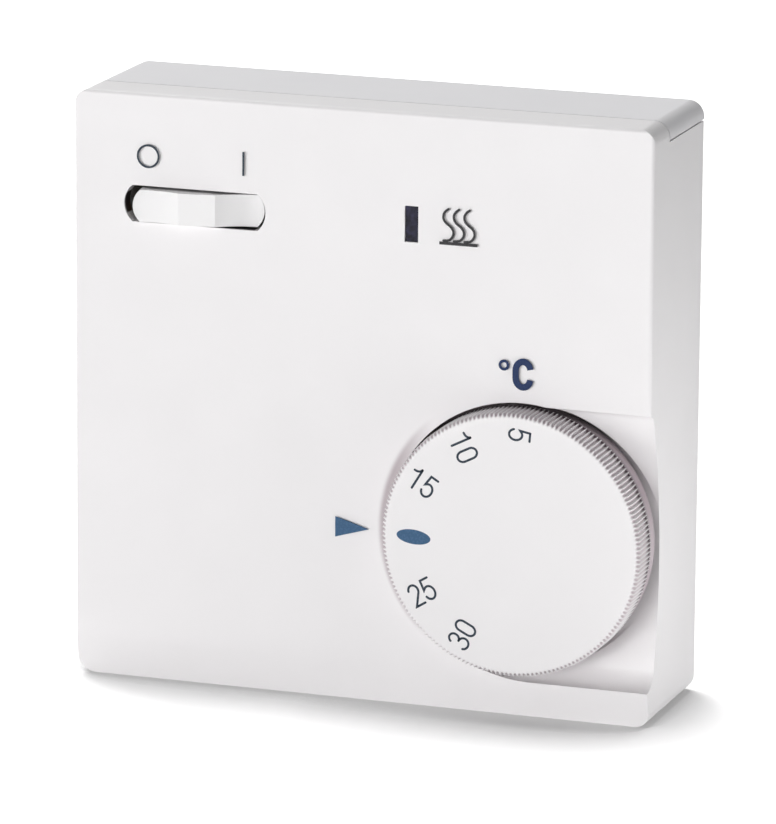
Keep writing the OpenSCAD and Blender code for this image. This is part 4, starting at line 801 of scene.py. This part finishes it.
# %% Ink finishes
ink_cloud_mm = 0.25
blue_ink, navy_ink, slate_ink, grey_ink = (
    clouded(name + " pad-printed ink", colour, thin, (ink_cloud_mm,) * 3, 2.0, limits=(0.45, 0.8),
            Roughness=0.6, Specular_IOR_Level=0.25)
    for name, colour, thin in (("Blue", "#395b7d", "#4a6c8e"), ("Navy", "#1a2d54", "#263a62"),
                               ("Slate blue", "#28323e", "#3c4654"), ("Dark grey", "#2e2e30", "#444446")))
print("inks:", [m.name for m in (blue_ink, navy_ink, slate_ink, grey_ink)])

# %% [markdown]
# ## Figures for the dial
#
# The figures are condensed and round-cornered, with one even stroke. Each is drawn in a box one high, from
# its foot at 0 to its head at 1, then scaled to its real height. On the dial every figure stands upright
# when it is turned to the pointer at the left, so it is turned by its own angle from there.

# %% Figure centre lines
figures = {
    "0": [np.vstack([arc(0.27, 0.70, 0.225, 0.26, 0, 180, 16), arc(0.27, 0.30, 0.225, 0.26, 180, 360, 16),
                     line((0.495, 0.70))])],
    "1": [arc(0.02, 0.98, 0.27, 0.2, -95, -5, 8), line((0.30, 0.96), (0.30, 0.04))],
    "2": [np.vstack([arc(0.27, 0.71, 0.22, 0.25, 165, -35, 18), line((0.06, 0.04), (0.5, 0.04))])],
    "3": [arc(0.25, 0.735, 0.2, 0.225, 160, -90, 18), arc(0.25, 0.275, 0.24, 0.235, 90, -160, 20)],
    "5": [np.vstack([line((0.47, 0.96), (0.12, 0.96), (0.07, 0.52)),
                     arc(0.26, 0.33, 0.235, 0.29, 118, -160, 24)])],
}
figure_width, figure_step = 0.54, 0.64
figure_height = 2.9 * mm
figure_stroke = 0.29 * mm


def written(text, height, stroke):
    """Loops for a run of figures, centred on 0, 0: each figure's lines scaled and set one step further."""
    width = figure_step * (len(text) - 1) + figure_width
    loops = []
    for place, figure in enumerate(text):
        for path in figures[figure]:
            moved = (path + [place * figure_step - width / 2, -0.5]) * height
            loops.append(ribbon(moved, stroke))
    return loops


def turn_by(angle):
    """The matrix that turns x and z by an angle t: x' = x cos t - z sin t, z' = x sin t + z cos t."""
    t = np.radians(angle)
    return np.array([[np.cos(t), np.sin(t)], [-np.sin(t), np.cos(t)]])


def turned_to(loops, radius, angle):
    """Loops moved to a radius and an angle (degrees, counter-clockwise seen from the front), and turned so
    that they are upright at the left, which is 180 degrees."""
    a = np.radians(angle)
    place = np.array([knob_x + radius * np.cos(a), knob_z + radius * np.sin(a)])
    return [loop @ turn_by(angle - 180) + place for loop in loops]


# Five degrees of room temperature take 31.5 degrees of turn, and 20 stands at the pointer
angle_per_five = 31.5
pair_radius, single_radius, mark_radius = 13.2 * mm, 14.0 * mm, 12.4 * mm
dial_loops = []
for fives, text in ((-3, "5"), (-2, "10"), (-1, "15"), (1, "25"), (2, "30")):
    radius = single_radius if len(text) == 1 else pair_radius
    strokes = written(text, figure_height, figure_stroke)
    dial_loops += turned_to(strokes, radius, 180 + fives * angle_per_five)
put("dial_figures", *film(dial_loops, face_y), slate_ink, "dial", "knob_plastic")

# The mark at 20 is an ellipse that leans a little, drawn without its last point because loops close
mark_rx, mark_rz, mark_lean = 2.2 * mm, 0.92 * mm, -4.5
mark_loop = arc(0, 0, mark_rx, mark_rz, 0, 351, 40) @ turn_by(mark_lean)
mark_loops = turned_to([mark_loop], mark_radius, 180)
put("dial_mark_20", *film(mark_loops, face_y), blue_ink, "dial", "knob_plastic")
print("figures:", len(dial_loops), "strokes of", figure_stroke / mm, "mm")

# %% [markdown]
# ## Marks on the case
#
# These stay still: the two switch signs, the heat sign beside the window, the degree sign, and the
# triangle that points at the dial. They ride on the case, a film's thickness proud of it.

# %% Case marks
# Places and strokes in millimetres of the case's own x and z
off_x, off_z, off_r = -27.6, 29.7, 1.37
on_x, on_low, on_high = -15.1, 28.15, 31.15
switch_stroke = 0.26
wave_x, wave_low, wave_high = (11.5, 12.85, 14.2), 22.05, 26.0
wave_reach, wave_bend, wave_stroke = 0.66, 0.02, 0.3
wave_foot_start, wave_foot_end = 0.62, 0.2
plate_left, plate_right, plate_z, plate_stroke = 10.35, 15.25, 21.72, 0.38
ring_x, ring_z, ring_r, ring_stroke = 18.8, 7.15, 0.52, 0.34
capital_x, capital_high, capital_low, capital_stroke = 21.25, 6.6, 5.7, 0.8
capital_rx, capital_rz, capital_mouth = 0.95, 1.15, 10
pointer_back, pointer_tip, pointer_z, pointer_half = -2.9, 1.5, -15.1, 1.3


def at_mm(*loops):
    """Loops given in millimetres of the case's own x and z, in metres."""
    return [np.asarray(loop, float) * mm for loop in loops]


def heat_wave(x):
    """One rising wave on a short foot: x + reach sin(2 pi t) at the height t - bend sin(4 pi t), for t from
    0 to 1 between the low and the high end; the second term makes its bends round."""
    t = np.linspace(0, 1, 36)
    wave = np.column_stack([x + wave_reach * np.sin(2 * np.pi * t),
                            wave_low + (wave_high - wave_low) * (t - wave_bend * np.sin(4 * np.pi * t))])
    foot_line = line((x - wave_foot_start, wave_low), (x - wave_foot_end, wave_low))
    return np.vstack([foot_line, wave[1:]])


switch_marks = at_mm(ribbon(arc(off_x, off_z, off_r, off_r, 0, 360, 48), switch_stroke),
                     ribbon(line((on_x, on_low), (on_x, on_high)), switch_stroke, round_ends=False))
heat_marks = at_mm(*(ribbon(heat_wave(x), wave_stroke) for x in wave_x),
                   ribbon(line((plate_left, plate_z), (plate_right, plate_z)), plate_stroke,
                          round_ends=False))
# The capital C is two half ellipses with a straight between, open at the right by its mouth's angle
capital = np.vstack([arc(capital_x, capital_high, capital_rx, capital_rz, capital_mouth, 180, 14),
                     arc(capital_x, capital_low, capital_rx, capital_rz, 180, 360 - capital_mouth, 14)])
degree_marks = at_mm(ribbon(arc(ring_x, ring_z, ring_r, ring_r, 0, 360, 36), ring_stroke),
                     ribbon(capital, capital_stroke, round_ends=False))
pointer = at_mm(line((pointer_back, pointer_z + pointer_half), (pointer_back, pointer_z - pointer_half),
                     (pointer_tip, pointer_z)))
case_marks = [
    put("switch_marks", *film(switch_marks, front_y), slate_ink, "case", "case_plastic"),
    put("heat_sign", *film(heat_marks, front_y), grey_ink, "case", "case_plastic"),
    put("degree_sign", *film(degree_marks, front_y), navy_ink, "case", "case_plastic"),
    put("pointer_triangle", *film(pointer, front_y), blue_ink, "case", "case_plastic"),
]
print("marks on the case:", [o.name for o in case_marks])

# %% [markdown]
# ## Floor and background
#
# The part stands on a white table in a surround that looks evenly white. To light that bounces, the table
# is plain matt paint. To the camera it is paint whiter than any real one, over a soft glow, so that it is
# pure white wherever a fair share of the light reaches it. Close to the part's foot both fall off, by how
# much of what lies within reach is open, which leaves the soft shadow that a part standing on a table has.

# %% Floor
def ray(tree, *kinds):
    """A value that is 1 for rays of the kinds given and 0 for all others."""
    rays = add_node(tree, "ShaderNodeLightPath")
    found = rays.outputs[kinds[0]]
    for kind in kinds[1:]:
        found = add_node(tree, "ShaderNodeMath", {"operation": "MAXIMUM"},
                         {0: found, 1: rays.outputs[kind]}).outputs[0]
    return found


floor_glow, floor_to_camera, floor_paint = 0.40, 1.5, 0.85
foot_shadow, shadow_reach = 0.36, 20 * mm
foot_open, floor_open = 0.45, 0.95
floor_half, floor_gap = 6.0, 0.02 * mm
floor_white = bpy.data.materials.new("White table, matt paint")
floor_white.use_nodes = True
floor_tree = floor_white.node_tree
floor_tree.nodes.clear()
seen = ray(floor_tree, "Is Camera Ray", "Is Glossy Ray", "Is Transmission Ray")
# At the part's foot about half of what lies within reach is open: there the white falls to its shadow
open_share = add_node(floor_tree, "ShaderNodeAmbientOcclusion", {"samples": 16, "Distance": shadow_reach})
foot = add_node(floor_tree, "ShaderNodeMapRange",
                {"From Min": foot_open, "From Max": floor_open, "To Min": foot_shadow},
                {"Value": open_share.outputs["AO"]})
strength = add_node(floor_tree, "ShaderNodeMath", {"operation": "MULTIPLY", 1: floor_glow}, {0: seen})
glow = add_node(floor_tree, "ShaderNodeEmission", {},
                {"Color": foot.outputs[0], "Strength": strength.outputs[0]})
shaded = add_node(floor_tree, "ShaderNodeMath", {"operation": "MULTIPLY", 1: floor_to_camera},
                  {0: foot.outputs[0]})
whiteness = add_node(floor_tree, "ShaderNodeMapRange", {"To Min": floor_paint},
                     {"Value": ray(floor_tree, "Is Camera Ray"), "To Max": shaded.outputs[0]})
paint = add_node(floor_tree, "ShaderNodeBsdfDiffuse", {}, {"Color": whiteness.outputs[0]})
both = add_node(floor_tree, "ShaderNodeAddShader", {}, {0: glow.outputs[0], 1: paint.outputs[0]})
add_node(floor_tree, "ShaderNodeOutputMaterial", {}, {"Surface": both.outputs[0]})
floor_z = case_low[2]
square = np.array([[-1, -1, 0], [1, -1, 0], [1, 1, 0], [-1, 1, 0]])
corners = square * floor_half + [0, 0, floor_z - floor_gap]
floor_mesh = bpy.data.meshes.new("floor")
floor_mesh.from_pydata(corners.tolist(), [], [(0, 1, 2, 3)])
floor_mesh.materials.append(floor_white)
floor = add_object("floor", floor_mesh)
print("floor at", round(floor_z / mm, 2), "mm, shadow reach", round(shadow_reach / mm), "mm")

# %% [markdown]
# The surround is white to look at and in reflections. As a lamp it shines only from the upper left behind
# the part, which lifts the top and leaves the front and the right side to the lamps. How far a direction
# points that way is its dot product with one fixed direction.

# %% Surround
bright_way = (-0.5, 0.5, 0.7)
dark_below, full_above = 0.3, 0.9
front_level, back_level = 0.0, 1.0
world = bpy.data.worlds.new("white surround")
bpy.context.scene.world = world
world.use_nodes = True
world_tree = world.node_tree
world_tree.nodes.clear()
way = add_node(world_tree, "ShaderNodeVectorMath", {"operation": "DOT_PRODUCT", 1: bright_way},
               {0: add_node(world_tree, "ShaderNodeTexCoord").outputs["Generated"]})
behind = add_node(world_tree, "ShaderNodeMapRange",
                  {"From Min": dark_below, "From Max": full_above,
                   "To Min": front_level, "To Max": back_level},
                  {"Value": way.outputs["Value"]})
seen = ray(world_tree, "Is Camera Ray", "Is Glossy Ray", "Is Transmission Ray")
level = add_node(world_tree, "ShaderNodeMix", {"data_type": "FLOAT", 3: 1.0},
                 {0: seen, 2: behind.outputs[0]})
sky = add_node(world_tree, "ShaderNodeBackground", {"Color": (1, 1, 1, 1)}, {"Strength": level.outputs[0]})
add_node(world_tree, "ShaderNodeOutputWorld", {}, {"Surface": sky.outputs[0]})
print("surround from", front_level, "to", back_level)

# %% [markdown]
# ## Lamps
#
# White on white lives from small differences. The key lamp stands low at the left and the fill lamp low in
# front: together they make the front the brightest face, and they shade what turns to the right, such as
# the pressed half of the rocker. The top lamp, above and behind at the left, lights the top. A small lamp
# close to the right side lifts the lower part of that side and leaves its upper part in shade.

# %% Lamps
def lamp(name, place, aim, size, power):
    """A square soft lamp at a place, looking at an aimed point; power is in watts."""
    data = bpy.data.lights.new(name, "AREA")
    data.size = size
    data.energy = power
    obj = add_object(name, data)
    way = Vector(aim) - Vector(place)
    obj.matrix_world = Matrix.Translation(place) @ way.to_track_quat("-Z", "Y").to_matrix().to_4x4()
    return obj


centre, side_foot = (0, 0, 0), (0.0375, -0.014, -0.023)
lamps = [
    lamp("key_lamp", (-0.80, -0.90, 0.02), centre, 0.45, 5.6),
    lamp("fill_lamp", (-0.2, -1.15, 0.03), centre, 0.45, 8.6),
    lamp("top_lamp", (-0.6, 0.6, 0.9), centre, 0.6, 5.2),
    lamp("side_lamp", (0.108, -0.034, -0.029), side_foot, 0.04, 0.042),
]
print("lamps:", [o.name for o in lamps])
